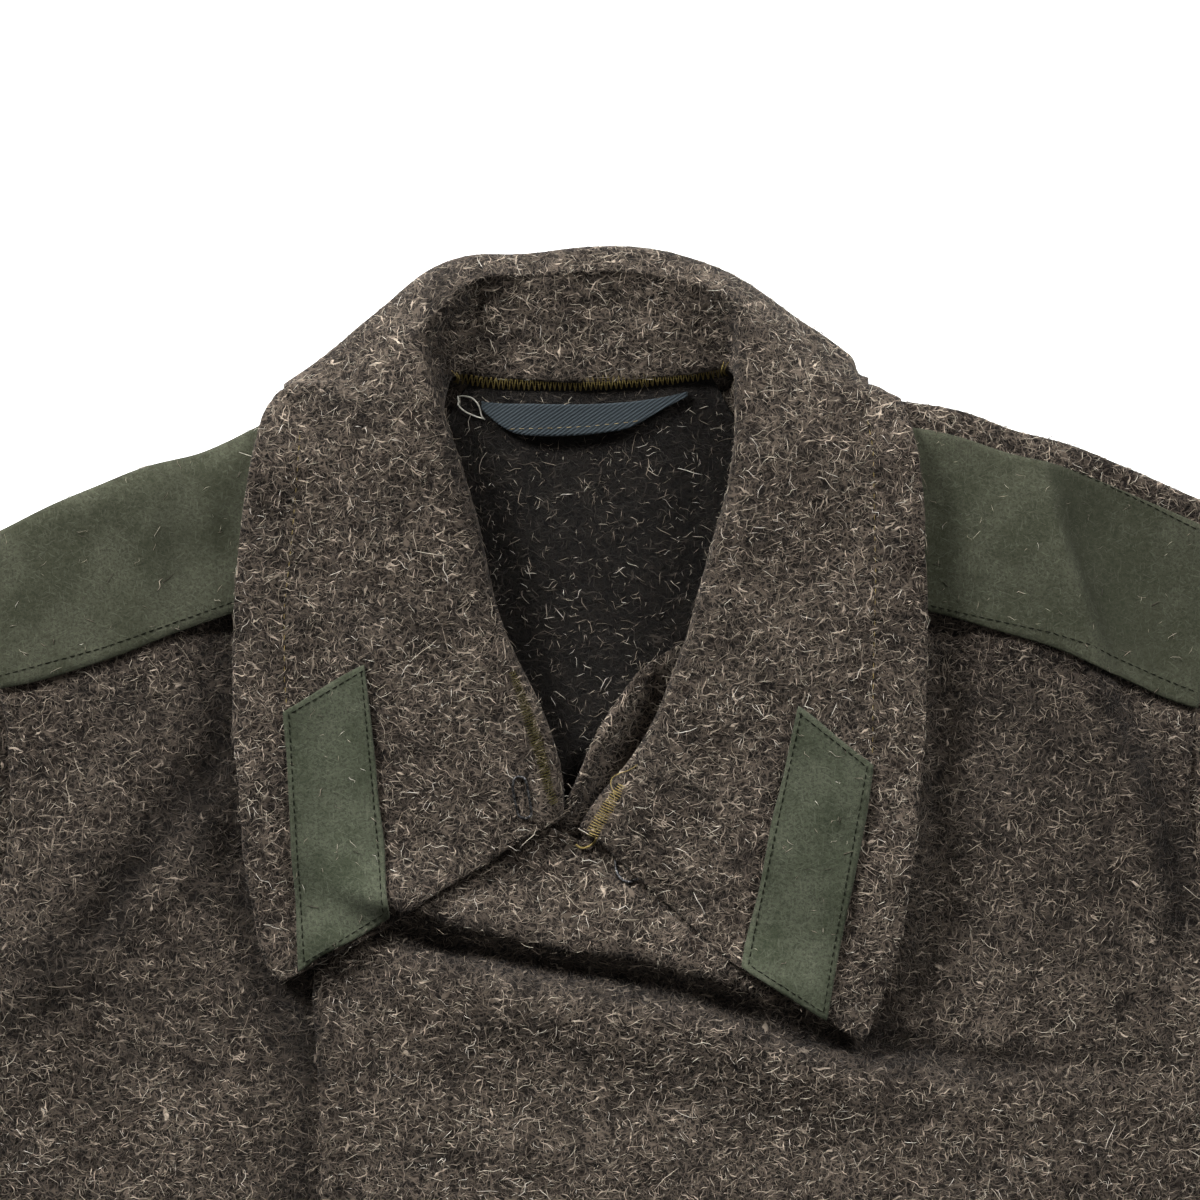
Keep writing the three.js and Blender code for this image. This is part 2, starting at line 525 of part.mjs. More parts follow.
function sleeveRing(side, s) {
  const flatSteps = 6;
  const radius = mix(layerStep / 2, sleeveHalfHeight, smooth(0, 0.1, s));
  const outer = new THREE.Vector2(readTable(sleeveOuter, 's', 'x', s), readTable(sleeveOuter, 's', 'y', s));
  const inner = new THREE.Vector2(readTable(sleeveInner, 's', 'x', s), readTable(sleeveInner, 's', 'y', s));
  const width = outer.distanceTo(inner);
  const bow = armholeBow * (1 - smooth(0, capLength, s));
  const section = [];
  const halfTurns = [0.25, 0.5, 0.75].map((share) => Math.PI * share);
  for (let step = 0; step <= flatSteps; step += 1) {
    section.push([mix(radius, width - radius, step / flatSteps), radius, true]);
  }
  halfTurns.forEach((a) => section.push([width - radius + radius * Math.sin(a), radius * Math.cos(a), false]));
  for (let step = flatSteps; step >= 0; step -= 1) {
    section.push([mix(radius, width - radius, step / flatSteps), -radius, false]);
  }
  halfTurns.forEach((a) => section.push([radius - radius * Math.sin(a), -radius * Math.cos(a), false]));
  return section.map(([distance, height, upper]) => {
    const across = distance / width;
    const place = outer.clone().lerp(inner, across);
    const dip = upper ? sleeveDip(s, across) : 0;
    const x = place.x - bow * Math.sin(Math.PI * across);
    return new THREE.Vector3(bodyCentreX + side * (x + sleeveSeamGap), place.y, backLevel + radius + height - dip);
  });
}

function sleeve(side) {
  const rings = spread([0, 0.2, 1], [4, 8]).map((s) => sleeveRing(side, s));
  return clothWall(rings, clothThickness, true);
}

// A shoulder patch is made from its panel's points, from a row of the shoulder fold to its lower edge
function patchGrid(grid, patch) {
  const columns = grid[0].map((_, column) => column)
    .filter((column) => grid[0][column].x / patch.innerX > 0.995);
  const lastRow = turnRows.length + patchRows;
  const places = grid.slice(patch.firstRow, lastRow + 1).map((line) => columns.map((column) => line[column].clone()));
  places[0].forEach((point, column) => point.lerp(places[1][column], patch.topShare));
  const normals = gridNormals(places, false);
  const stack = clothThickness / 2 + feltGap + feltThickness / 2;
  const outward = Math.sign(normals.at(-2)[1].z);
  return places.map((line, row) => line.map((point, column) => (
    point.clone().addScaledVector(normals[row][column], outward * stack)
  )));
}

function tabPlaces(tab) {
  return spread([0, 1], [9]).map((down) => spread([0, 1], [4]).map((across) => [
    mix(mix(tab.upperInner[0], tab.upperOuter[0], across), mix(tab.lowerInner[0], tab.lowerOuter[0], across), down),
    mix(mix(tab.upperInner[1], tab.upperOuter[1], across), mix(tab.lowerInner[1], tab.lowerOuter[1], across), down),
  ]));
}

function hangerGrid(back) {
  const columns = spread([hangerOutline[0].x, hangerOutline.at(-1).x], [16]);
  const places = spread([0, 1], [3]).map((share) => columns.map((x) => [
    x, mix(readTable(hangerOutline, 'x', 'top', x), readTable(hangerOutline, 'x', 'bottom', x), share),
  ]));
  const grid = layOn([back], tapeThickness, places);
  grid.forEach((line) => line.forEach((point, column) => {
    point.z += hangerArch * Math.sin((Math.PI * column) / (line.length - 1));
  }));
  return grid;
}

// Round wire laid level along a path
function wire(path, grids) {
  const points = layOn(grids, wireThickness, [path])[0];
  const top = Math.max(...points.map((point) => point.z));
  points.forEach((point) => point.setZ(top));
  const curve = new THREE.CatmullRomCurve3(points);
  const circle = new THREE.Shape().absarc(0, 0, wireThickness / 2, 0, Math.PI * 2);
  const settings = { steps: 14, curveSegments: 4, extrudePath: curve, bevelEnabled: false };
  return new THREE.ExtrudeGeometry(circle, settings);
}

const frontRight = frontGrid(frontRightPanel, frontRightColumns);
const frontLeft = frontGrid(frontLeftPanel, frontLeftColumns);
const back = backGrid();
const patchRight = patchGrid(frontRight, shoulderPatches.right);
const patchLeft = patchGrid(frontLeft, shoulderPatches.left);
const collar = collarGrid([
  { grid: frontRight, thickness: clothThickness },
  { grid: frontLeft, thickness: clothThickness },
  { grid: patchRight, thickness: feltThickness },
  { grid: patchLeft, thickness: feltThickness },
]);

const coat = new THREE.Group();

function addPiece(name, geometry, material) {
  const mesh = new THREE.Mesh(geometry, material);
  mesh.name = name;
  coat.add(mesh);
}

addPiece('back', clothWall(back, clothThickness), wool);
addPiece('front_right', clothWall(frontRight, clothThickness), wool);
addPiece('front_left', clothWall(frontLeft, clothThickness), wool);
addPiece('sleeve_right', sleeve(-1), wool);
addPiece('sleeve_left', sleeve(1), wool);
addPiece('collar', clothWall(collar, clothThickness), wool);
addPiece('shoulder_patch_right', clothWall(patchRight, feltThickness), felt);
addPiece('shoulder_patch_left', clothWall(patchLeft, feltThickness), felt);
['right', 'left'].forEach((side) => {
  const grid = layOn([collar], feltThickness, tabPlaces(collarTabs[side]));
  addPiece(`collar_tab_${side}`, clothWall(grid, feltThickness), felt);
});
addPiece('hanger_loop', clothWall(hangerGrid(back), tapeThickness), twill);
addPiece('collar_eye', wire(eyePath, [collar]), steel);
addPiece('collar_hook', wire(hookPath, [collar, frontLeft]), steel);

// The origin is the middle of the coat's box, on the surface it lies on
const box = new THREE.Box3().setFromObject(coat);
const group = new THREE.Group();
coat.position.set(-(box.min.x + box.max.x) / 2, -(box.min.y + box.max.y) / 2, -box.min.z);
group.add(coat);

export default group;
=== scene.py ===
import math
import random

import bmesh
import bpy
import numpy as np
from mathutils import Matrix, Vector
from mathutils.bvhtree import BVHTree


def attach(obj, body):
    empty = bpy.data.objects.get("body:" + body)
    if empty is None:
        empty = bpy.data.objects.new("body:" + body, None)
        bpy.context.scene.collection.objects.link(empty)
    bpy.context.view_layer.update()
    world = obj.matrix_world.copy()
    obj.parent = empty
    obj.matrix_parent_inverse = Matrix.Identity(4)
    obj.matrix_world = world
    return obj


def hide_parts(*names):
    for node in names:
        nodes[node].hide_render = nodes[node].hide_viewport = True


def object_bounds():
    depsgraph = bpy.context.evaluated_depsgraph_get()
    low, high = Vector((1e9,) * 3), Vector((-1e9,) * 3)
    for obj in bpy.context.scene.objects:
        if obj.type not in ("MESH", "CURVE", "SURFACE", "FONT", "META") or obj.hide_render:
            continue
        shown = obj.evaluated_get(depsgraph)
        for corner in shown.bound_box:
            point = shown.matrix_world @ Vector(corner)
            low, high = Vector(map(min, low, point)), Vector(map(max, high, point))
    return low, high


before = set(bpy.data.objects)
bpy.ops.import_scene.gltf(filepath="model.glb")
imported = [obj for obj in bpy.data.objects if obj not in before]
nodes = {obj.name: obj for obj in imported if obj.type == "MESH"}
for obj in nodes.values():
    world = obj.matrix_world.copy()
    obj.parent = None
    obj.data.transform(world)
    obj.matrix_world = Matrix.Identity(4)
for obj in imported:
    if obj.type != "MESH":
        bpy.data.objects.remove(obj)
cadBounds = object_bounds()
mm = 0.001

# Flat measures are in millimetres from the back-neck seam at the coat's middle, x to the wearer's left
# and y towards the collar. This is where that point is in the frame.
collarRise = 60.26
bodyMiddle = 4.5
neckSeam = Vector((-bodyMiddle * mm, cadBounds[1].y - collarRise * mm, 0.0))


def atFlat(x, y, z=0.0):
    return Vector((neckSeam.x + x * mm, neckSeam.y + y * mm, z * mm))


def addObject(name, data):
    made = bpy.data.objects.new(name, data)
    bpy.context.scene.collection.objects.link(made)
    return made


# Camera and light

view = {"middle": (4.1, -86.1), "across": 492.0, "height": 1500.0, "clothHeight": 12.0}


def makeCamera():
    camera = addObject("camera", bpy.data.cameras.new("camera"))
    camera.location = atFlat(*view["middle"], view["height"])
    camera.data.sensor_width = 36.0
    camera.data.lens = 36.0 * (view["height"] - view["clothHeight"]) / view["across"]
    camera.data.clip_end = 20.0
    bpy.context.scene.camera = camera


lighting = {
    "keyLeft": {"place": (-1.37, 2.11, 1.15), "size": 0.7, "watts": 4.1, "spread": 0.5},
    "keyRight": {"place": (1.40, 2.11, 1.15), "size": 0.7, "watts": 2.1, "spread": 0.5},
    "fill": {"place": (0.3, 0.2, 2.6), "size": 1.6, "watts": 6.0, "spread": math.pi},
    "aim": (20.0, -210.0),
    "sky": 0.09,
    "floor": (0.86, 0.86, 0.85), "floorGlow": 0.8,
    "floorSide": 8.0,
    "floorDrop": 0.4,
}


def makeLights():
    scene = bpy.context.scene
    for name in ("keyLeft", "keyRight", "fill"):
        light = bpy.data.lights.new(name, "AREA")
        light.size = lighting[name]["size"]
        light.energy = lighting[name]["watts"]
        light.spread = lighting[name]["spread"]
        lamp = addObject(name, light)
        lamp.location = Vector(lighting[name]["place"])
        aim = atFlat(*lighting["aim"]) - lamp.location
        lamp.rotation_euler = aim.to_track_quat("-Z", "Y").to_euler()
    world = bpy.data.worlds.new("studio")
    world.use_nodes = True
    sky = world.node_tree.nodes["Background"]
    sky.inputs["Color"].default_value = (1.0, 1.0, 1.0, 1.0)
    sky.inputs["Strength"].default_value = lighting["sky"]
    scene.world = world
    scene.view_settings.view_transform = "Standard"


# Material nodes


class Wire:
    def __init__(self, shader, socket):
        self.shader = shader
        self.socket = socket

    def maths(self, operation, first, second=None):
        values = {0: first} if second is None else {0: first, 1: second}
        return self.shader.node("ShaderNodeMath", {"operation": operation}, values)

    def __add__(self, other):
        return self.maths("ADD", self, other)

    def __radd__(self, other):
        return self.maths("ADD", other, self)

    def __sub__(self, other):
        return self.maths("SUBTRACT", self, other)

    def __rsub__(self, other):
        return self.maths("SUBTRACT", other, self)

    def __mul__(self, other):
        return self.maths("MULTIPLY", self, other)

    def __rmul__(self, other):
        return self.maths("MULTIPLY", other, self)

    def __or__(self, other):
        return self.maths("MAXIMUM", self, other)

    def between(self, low, high):
        # 0 at low, 1 at high, eased
        return self.shader.node(
            "ShaderNodeMapRange",
            {"interpolation_type": "SMOOTHSTEP"},
            {"Value": self, "From Min": low, "From Max": high},
        )


class Shader:
    def __init__(self, name):
        self.material = bpy.data.materials.new(name)
        self.material.use_nodes = True
        self.tree = self.material.node_tree
        self.tree.nodes.clear()

    def node(self, kind, settings, values, output=0):
        made = self.tree.nodes.new(kind)
        for key, setting in settings.items():
            if key == "stops":
                while len(made.color_ramp.elements) < len(setting):
                    made.color_ramp.elements.new(0.5)
                for element, (place, colour) in zip(made.color_ramp.elements, setting):
                    element.position = place
                    element.color = (*colour, 1.0)
            else:
                setattr(made, key, setting)
        for key, value in values.items():
            if isinstance(value, Wire):
                self.tree.links.new(value.socket, made.inputs[key])
            elif isinstance(value, tuple) and made.inputs[key].type == "RGBA":
                made.inputs[key].default_value = (*value, 1.0)
            else:
                made.inputs[key].default_value = value
        return Wire(self, made.outputs[output]) if made.outputs else None

    def place(self):
        return self.node("ShaderNodeTexCoord", {}, {}, "Object")

    def stored(self, name):
        return self.node("ShaderNodeAttribute", {"attribute_name": name}, {}, "Fac")

    def turned(self, vector, size, turn, move=0.0):
        # turned about the upright by an angle, then measured in units of that size along each way
        values = {"Vector": vector, "Scale": size, "Rotation": (0.0, 0.0, turn),
                  "Location": (move, move, move)}
        return self.node("ShaderNodeMapping", {"vector_type": "TEXTURE"}, values)

    def noise(self, vector, grain, detail=2.0, rough=0.5, output="Fac"):
        # grain is the size of a blotch in millimetres
        values = {"Vector": vector, "Scale": 1.0 / (grain * mm), "Detail": detail, "Roughness": rough}
        return self.node("ShaderNodeTexNoise", {}, values, output)

    def blend(self, share, first, second, how="MIX"):
        settings = {"data_type": "RGBA", "blend_type": how}
        return self.node("ShaderNodeMix", settings, {0: share, 6: first, 7: second}, 2)

    def wander(self, vector, grain, reach):
        # pushes a place about by reach millimetres, in swirls of that grain
        swirl = self.noise(vector, grain, 1.0, 0.5, "Color")
        centred = self.node("ShaderNodeVectorMath", {"operation": "SUBTRACT"}, {0: swirl, 1: (0.5, 0.5, 0.5)})
        values = {0: centred, 3: 2.0 * reach * mm}
        pushed = self.node("ShaderNodeVectorMath", {"operation": "SCALE"}, values)
        return self.node("ShaderNodeVectorMath", {"operation": "ADD"}, {0: vector, 1: pushed})

    def fibres(self, vector, turn, long, thin, move, low, high):
        # streaks of that length and thickness in millimetres, lying at a turn
        laid = self.turned(vector, (long * mm, thin * mm, long * mm), turn, move)
        streaks = self.node("ShaderNodeTexNoise", {}, {"Vector": laid, "Scale": 1.0, "Detail": 1.0})
        return streaks.between(low, high)

    def brightest(self, layers, low, high):
        strongest = None
        for layer in layers:
            made = self.fibres(*layer, low, high)
            strongest = made if strongest is None else strongest | made
        return strongest

    def finish(self, colour, rough, bump=None, height=0.0, **fixed):
        values = {"Base Color": colour, "Roughness": rough}
        if bump is not None:
            values["Normal"] = self.node(
                "ShaderNodeBump", {}, {"Height": bump, "Distance": height * mm, "Strength": 1.0}
            )
        values.update({key.replace("_", " "): value for key, value in fixed.items()})
        surface = self.node("ShaderNodeBsdfPrincipled", {}, values)
        self.node("ShaderNodeOutputMaterial", {}, {"Surface": surface})
        return self.material


# Two looks of the same cloth: its worn outside, and a darker copy with fewer pale fibres for its inside,
# painted shade for the shadow inside the neck
woolLooks = {
    "woolCloth": {"dark": (0.0019, 0.0012, 0.0008), "brown": (0.0150, 0.0095, 0.0061),
                  "grey": (0.0280, 0.0223, 0.0180),
                  "fibre": (0.62, 0.51, 0.40), "fine": (0.142, 0.112, 0.086), "share": 0.9},
    "woolInsidePaintedShade": {"dark": (0.0008, 0.0006, 0.0004), "brown": (0.0042, 0.0029, 0.0021),
                   "grey": (0.0062, 0.0050, 0.004),
                   "fibre": (0.10, 0.082, 0.065), "fine": (0.020, 0.016, 0.0125), "share": 0.55},
}
woolGrain = {"blotch": 24.0, "speckle": 5.0, "pit": 1.5}


def woolMaterial(name):
    look = woolLooks[name]
    s = Shader(name)
    at = s.place()
    blotch = s.noise(at, woolGrain["blotch"], 3.0, 0.6).between(0.36, 0.64)
    speckle = s.noise(at, woolGrain["speckle"], 3.0, 0.6).between(0.33, 0.66)
    grain = s.noise(at, woolGrain["pit"], 3.0, 0.75)
    tone = blotch * 0.6 + speckle * 0.4
    ground = s.blend(tone, look["brown"], look["grey"])
    ground = s.blend(grain.between(0.55, 0.43) * 0.95, ground, look["dark"])
    bent = s.wander(at, 2.6, 1.3)
    bentFar = s.wander(at, 5.0, 2.2)
    fine = s.brightest([
        (bent, 0.2, 5.0, 0.80, 0.0), (bent, 1.25, 4.4, 0.74, 0.07), (bent, 2.3, 5.4, 0.84, 0.19),
        (bentFar, 0.75, 5.8, 0.78, 0.31), (bentFar, 1.8, 5.0, 0.72, 0.43), (bentFar, 2.85, 6.0, 0.80, 0.59),
    ], 0.58, 0.68)
    bold = s.brightest([
        (bent, 0.5, 8.0, 0.86, 0.77), (bentFar, 1.5, 9.0, 0.92, 0.83), (bent, 2.6, 8.5, 0.86, 0.97),
        (bentFar, 0.05, 10.0, 0.90, 0.41),
    ], 0.67, 0.74)
    patchy = s.noise(at, 7.0, 2.0, 0.5).between(0.3, 0.7)
    colour = s.blend(fine * (0.5 + tone * 0.5) * look["share"], ground, look["fine"])
    colour = s.blend(bold * (0.35 + patchy * 0.65) * look["share"], colour, look["fibre"])
    shaded = s.noise(at, 17.0, 2.0, 0.5).between(0.52, 0.32)
    colour = s.blend(shaded * 0.42, colour, look["dark"])
    # painted shade: darker where the hollow attribute is set, in the creases and beside the edges
    colour = s.blend(s.stored("hollow") * 0.75, colour, look["dark"])
    relief = grain * 0.8 + fine * 0.6 + bold * 0.7 + s.noise(at, 2.4, 2.0, 0.5) * 1.2
    return s.finish(colour, 0.95, relief, 0.55, Sheen_Weight=0.05, Sheen_Roughness=0.5,
                    Specular_IOR_Level=0.15)


feltLooks = {
    "feltPatch": {"ground": (0.036, 0.039, 0.0225), "worn": (0.066, 0.069, 0.0455),
                  "deep": (0.018, 0.020, 0.0112)},
    "feltTab": {"ground": (0.038, 0.045, 0.026), "worn": (0.074, 0.081, 0.054),
                "deep": (0.0165, 0.021, 0.012)},
}


def feltMaterial(name):
    look = feltLooks[name]
    s = Shader(name)
    at = s.place()
    cloudy = s.noise(at, 20.0, 3.0, 0.55).between(0.36, 0.68)
    small = s.noise(at, 3.0, 3.0, 0.6).between(0.35, 0.7)
    colour = s.blend(cloudy * 0.75 + small * 0.45, look["ground"], look["worn"])
    nap = s.noise(at, 1.1, 3.0, 0.75)
    colour = s.blend(nap.between(0.55, 0.38) * 0.6, colour, look["deep"])
    bent = s.wander(at, 4.0, 1.2)
    hairs = s.brightest([
        (bent, turn, 4.4, 0.7, move) for turn, move in ((0.5, 0.3), (1.6, 0.17), (2.7, 0.29))
    ], 0.62, 0.74)
    colour = s.blend(hairs * 0.16, colour, (0.20, 0.20, 0.15))
    # painted shade: darker where the hollow attribute is set, along the patch's fold
    colour = s.blend(s.stored("hollow") * 0.6, colour, look["deep"])
    relief = nap + s.noise(at, 2.0, 2.0, 0.5) * 0.8 + hairs * 0.3
    return s.finish(colour, 0.92, relief, 0.2, Sheen_Weight=0.06, Sheen_Roughness=0.45,
                    Specular_IOR_Level=0.2)


twillLook = {
    "ground": (0.0095, 0.014, 0.0175),
    "ridge": (0.034, 0.048, 0.057),
    "pitch": 1.25,
    "turn": 0.6,
}


def twillMaterial():
    s = Shader("twillTape")
    at = s.wander(s.place(), 2.0, 0.08)
    pitch = twillLook["pitch"] * mm
    laid = s.turned(at, (pitch, pitch, pitch), twillLook["turn"])
    values = {"Vector": laid, "Scale": math.pi / 10.0, "Distortion": 0.2, "Detail": 1.0}
    ribs = s.node("ShaderNodeTexWave", {"wave_type": "BANDS", "bands_direction": "Y"}, values, "Fac")
    weft = s.noise(at, 0.35, 2.0, 0.6)
    colour = s.blend(ribs.between(0.25, 0.9) * 0.7 + weft * 0.2, twillLook["ground"], twillLook["ridge"])
    return s.finish(colour, 0.8, ribs + weft * 0.5, 0.18, Sheen_Weight=0.1, Specular_IOR_Level=0.3)


def threadMaterial(name, colour, paler):
    s = Shader(name)
    at = s.place()
    twist = s.noise(at, 0.5, 2.0, 0.6)
    drift = s.noise(at, 9.0, 2.0, 0.5).between(0.35, 0.65)
    shade = s.blend(twist.between(0.35, 0.7) * 0.6 + drift * 0.4, colour, paler)
    return s.finish(shade, 0.8, twist, 0.1, Specular_IOR_Level=0.08)


def hairMaterial():
    s = Shader("kempHair")
    stops = [
        (0.0, (0.030, 0.022, 0.017)), (0.30, (0.10, 0.078, 0.058)),
        (0.62, (0.30, 0.25, 0.19)), (0.88, (0.50, 0.45, 0.36)), (1.0, (0.72, 0.68, 0.60)),
    ]
    colour = s.node("ShaderNodeValToRGB", {"stops": stops}, {"Fac": s.stored("shade")})
    rough = s.noise(s.place(), 2.0, 1.0, 0.5) * 0.2 + 0.55
    return s.finish(colour, rough, Specular_IOR_Level=0.3)


def steelMaterial():
    s = Shader("blackenedWire")
    at = s.place()
    worn = s.noise(at, 1.1, 3.0, 0.6).between(0.4, 0.68)
    colour = s.blend(worn, (0.022, 0.022, 0.024), (0.30, 0.30, 0.30))
    rough = 0.42 - worn * 0.14
    return s.finish(colour, rough, s.noise(at, 0.3, 2.0, 0.5), 0.02, Metallic=1.0)


def floorMaterial():
    s = Shader("paleFloor")
    soft = s.noise(s.place(), 400.0, 2.0, 0.5)
    low = tuple(0.985 * c for c in lighting["floor"])
    colour = s.blend(soft, low, lighting["floor"])
    return s.finish(colour, 0.75, Specular_IOR_Level=0.2, Emission_Strength=lighting["floorGlow"])


looks = {
    "wool": woolMaterial("woolCloth"),
    "woolInsidePaintedShade": woolMaterial("woolInsidePaintedShade"),
    "felt": feltMaterial("feltPatch"),
    "feltTab": feltMaterial("feltTab"),
    "twill": twillMaterial(),
    "olive": threadMaterial("oliveThread", (0.15, 0.112, 0.038), (0.32, 0.25, 0.09)),
    "deepOlive": threadMaterial("deepOliveThread", (0.040, 0.034, 0.011), (0.095, 0.080, 0.026)),
    "mustard": threadMaterial("mustardThread", (0.17, 0.125, 0.04), (0.36, 0.28, 0.11)),
    "dark": threadMaterial("darkThread", (0.005, 0.0055, 0.0035), (0.016, 0.017, 0.011)),
    "tan": threadMaterial("tanThread", (0.16, 0.12, 0.06), (0.34, 0.27, 0.16)),
    "cream": threadMaterial("creamThread", (0.34, 0.32, 0.27), (0.62, 0.60, 0.53)),
    "hair": hairMaterial(),
    "steel": steelMaterial(),
    "floor": floorMaterial(),
}
print("materials made:", len(looks))


def fold(height, widths, *path):
    # A crease along its path, in millimetres: a ridge above 0, a trough below 0. It fades over its widths,
    # first on the left hand going along it and then on the right.
    return {"path": path, "height": height, "widths": widths}


# the underlap's rolled edge in the neck, with the hollow beside it
underlapRoll = [
    fold(5.5, (5, 5), (26, -100), (20.9, -114.8), (9, -136), (-3, -157), (-12.3, -173.8), (-14, -180)),
    fold(-2.6, (6, 6), (38, -112), (28, -136), (15, -158), (2, -178)),
]
frontFold = [
    fold(4.6, (4.5, 14), (0, -196), (20, -210), (42, -225), (64, -238)),
    fold(-5.0, (5.5, 4.5), (-122, -210), (-82, -219), (-51, -230), (-14, -237), (25, -243), (64, -254),
         (98, -265), (150, -275), (206, -279), (240, -281)),
]
bodyCreases = [
    fold(-4.2, (8, 12), (-146, -136), (-163, -164), (-177, -186), (-196, -214), (-220, -244)),
    fold(1.4, (16, 12), (-118, -262), (-150, -300), (-205, -340)),
    fold(1.0, (12, 16), (152, -104), (160, -130), (158, -165), (150, -196)),
    fold(-1.1, (9, 12), (214, -118), (222, -150), (232, -190), (240, -236), (243, -286)),
    fold(1.3, (14, 18), (196, -318), (150, -336), (92, -342), (30, -336)),
    fold(0.9, (12, 15), (-60, -300), (-20, -318), (44, -322)),
    fold(2.2, (18, 26), (-180, -420), (-150, -500), (-160, -610), (-190, -700)),
    fold(2.4, (22, 18), (120, -460), (150, -560), (140, -660), (162, -790)),
    fold(2.0, (20, 24), (-250, -820), (-210, -900), (-214, -1010), (-230, -1120)),
    fold(2.4, (24, 16), (230, -840), (262, -930), (254, -1040), (280, -1130)),
    fold(1.6, (24, 20), (20, -520), (0, -640), (14, -760)),
    fold(1.8, (20, 28), (-20, -860), (0, -960), (-10, -1080)),
]
sleeveCreases = [
    fold(2.2, (18, 24), (-300, -300), (-346, -268), (-392, -222), (-420, -176)),
    fold(2.6, (16, 22), (-350, -410), (-404, -404), (-462, -372)),
    fold(2.2, (14, 20), (-410, -560), (-460, -568), (-522, -536)),
    fold(2.4, (20, 16), (302, -316), (352, -296), (402, -246), (436, -200)),
    fold(2.2, (22, 16), (360, -440), (418, -428), (478, -392)),
    fold(2.2, (20, 14), (404, -530), (462, -548), (530, -516)),
]
backCreases = [
    fold(2.0, (20, 16), (-210, -200), (-150, -300), (-160, -430)),
    fold(1.8, (18, 22), (40, -160), (70, -300), (52, -470)),
    fold(2.2, (16, 24), (200, -420), (170, -560), (196, -720)),
    fold(2.0, (24, 18), (-90, -620), (-110, -780), (-84, -960)),
    fold(2.2, (20, 20), (110, -800), (130, -940), (120, -1100)),
    fold(1.8, (18, 22), (-250, -880), (-236, -1000), (-262, -1130)),
]
collarCreases = [
    fold(6.0, (18, 24), (129, 6), (134, -40), (134, -120), (133, -200), (127, -262)),
    fold(5.5, (20, 18), (-134, 0), (-136, -60), (-137, -150), (-134, -226)),
    fold(1.2, (12, 10), (-124, -232), (-96, -212), (-72, -196), (-40, -184)),
    fold(-1.8, (7, 7), (0, -186), (20, -200), (44, -216)),
    fold(4.4, (22, 22), (94, 6), (97, -40), (96, -120), (92, -210)),
    fold(3.0, (14, 14), (60, -232), (86, -248), (116, -266)),
    fold(-3.4, (3.2, 4.6), (-44.5, 44), (-45.5, 36), (-47, 29), (-54, 23), (-63, 18)),
    fold(-0.9, (3.0, 4.0), (-20, 36.5), (0, 35), (18, 33), (33, 30.5)),
    fold(-1.3, (4.5, 5.5), (-22, 44), (-19, 52), (-17, 60)),
    fold(-0.75, (1.4, 1.4), (-118, -14), (-119.3, -36.5), (-122.2, -68.5), (-124.6, -90), (-124.6, -118),
         (-123.5, -134)),
    fold(-0.75, (1.4, 1.4), (112.5, -10), (114.8, -24.6), (116, -79), (115.2, -118), (114.8, -152)),
    fold(0.8, (8, 10), (-128, -160), (-112, -178), (-100, -200)),
    fold(0.8, (10, 12), (96, -60), (92, -104), (88, -128)),
    fold(0.7, (10, 9), (-140, -60), (-118, -84), (-96, -96)),
]
patchCreases = [
    fold(1.0, (3.0, 6.0), (-179, -34), (-178, -60), (-176, -88)),
    fold(-0.6, (3.0, 4.0), (-184, -40), (-185, -60), (-182, -84)),
    fold(0.7, (4.0, 5.0), (-154, -24), (-158, -44), (-155, -70)),
    fold(0.6, (6.0, 8.0), (-220, -60), (-206, -82), (-204, -104)),
    fold(0.5, (7.0, 8.0), (150, -40), (154, -62), (150, -88)),
    fold(0.9, (2.6, 4.0), (180, -31), (187, -49), (195, -71), (204, -89), (211, -109)),
]
besideCollar = [
    fold(-3.5, (6, 15), (-140, -40), (-142, -100), (-142, -170), (-138, -238)),
    fold(-3.2, (18, 6), (141, -60), (142, -120), (141, -200), (134, -262)),
]
underEdge = [
    fold(-3.5, (5, 12), (-116, -236), (-116, -400), (-116, -800), (-118, -1140)),
]
# painted shade: where the cloth is coloured darker, as the shade beside the fall's edges, along the underlap
# and in the folds
paintedShadeZones = [
    fold(0.78, (6, 20), (-143, -30), (-146, -70), (-145, -120), (-142, -168), (-137, -209), (-128, -244),
         (-114, -262), (-98, -268)),
    fold(0.6, (3, 16), (-111, -225), (-113, -240), (-115, -300), (-116, -500), (-117, -800),
         (-118, -1000), (-118, -1140)),
    fold(0.56, (18, 6), (140, -50), (139, -90), (137, -140), (133, -189), (128, -240), (116, -272),
         (104, -278)),
    fold(0.85, (8, 9), (-118, -208), (-80, -221), (-51, -231), (-12, -238), (45, -250), (102, -268),
         (168, -277), (246, -281)),
    fold(0.85, (9, 8), (200, -100), (212, -126), (224, -150), (236, -185), (244, -215), (250, -240)),
    fold(0.6, (9, 12), (-150, -140), (-177, -186), (-205, -222), (-240, -266)),
    fold(0.3, (44, 44), (-176, -90), (-190, -150), (-200, -220), (-206, -300)),
    fold(0.35, (40, 40), (172, -90), (182, -140), (196, -200), (206, -270)),
]
# painted shade inside the collar's rolls beside the neck opening
collarPaintedShadeZones = [
    fold(0.6, (9, 6), (-58, 58), (-61, 44), (-64, 24), (-58, -10), (-50, -50), (-42, -84), (-34, -112)),
    fold(0.3, (6, 8), (60, 40), (58, 10), (52, -30), (45, -70), (36, -104), (28, -130)),
]
# painted shade along the shoulder patches' folds
patchPaintedShadeZones = [
    fold(0.75, (20, 2.5), (180, 6), (185, -14), (189, -32), (196, -56), (205, -84), (215, -112),
         (222, -132)),
    fold(0.35, (12, 9), (-172, -20), (-171, -40), (-174, -64), (-178, -96)),
]
seamGrooves = [
    fold(1.8, (9, 9), (-105, -256), (-106, -400), (-107, -800), (-109, -1140)),
    fold(-0.5, (1.8, 1.8), (-86, -268), (-86, -400), (-87, -700), (-88, -1140)),
    fold(-0.5, (1.8, 1.8), (-41, -262), (-41, -400), (-42, -700), (-43, -1100)),
]
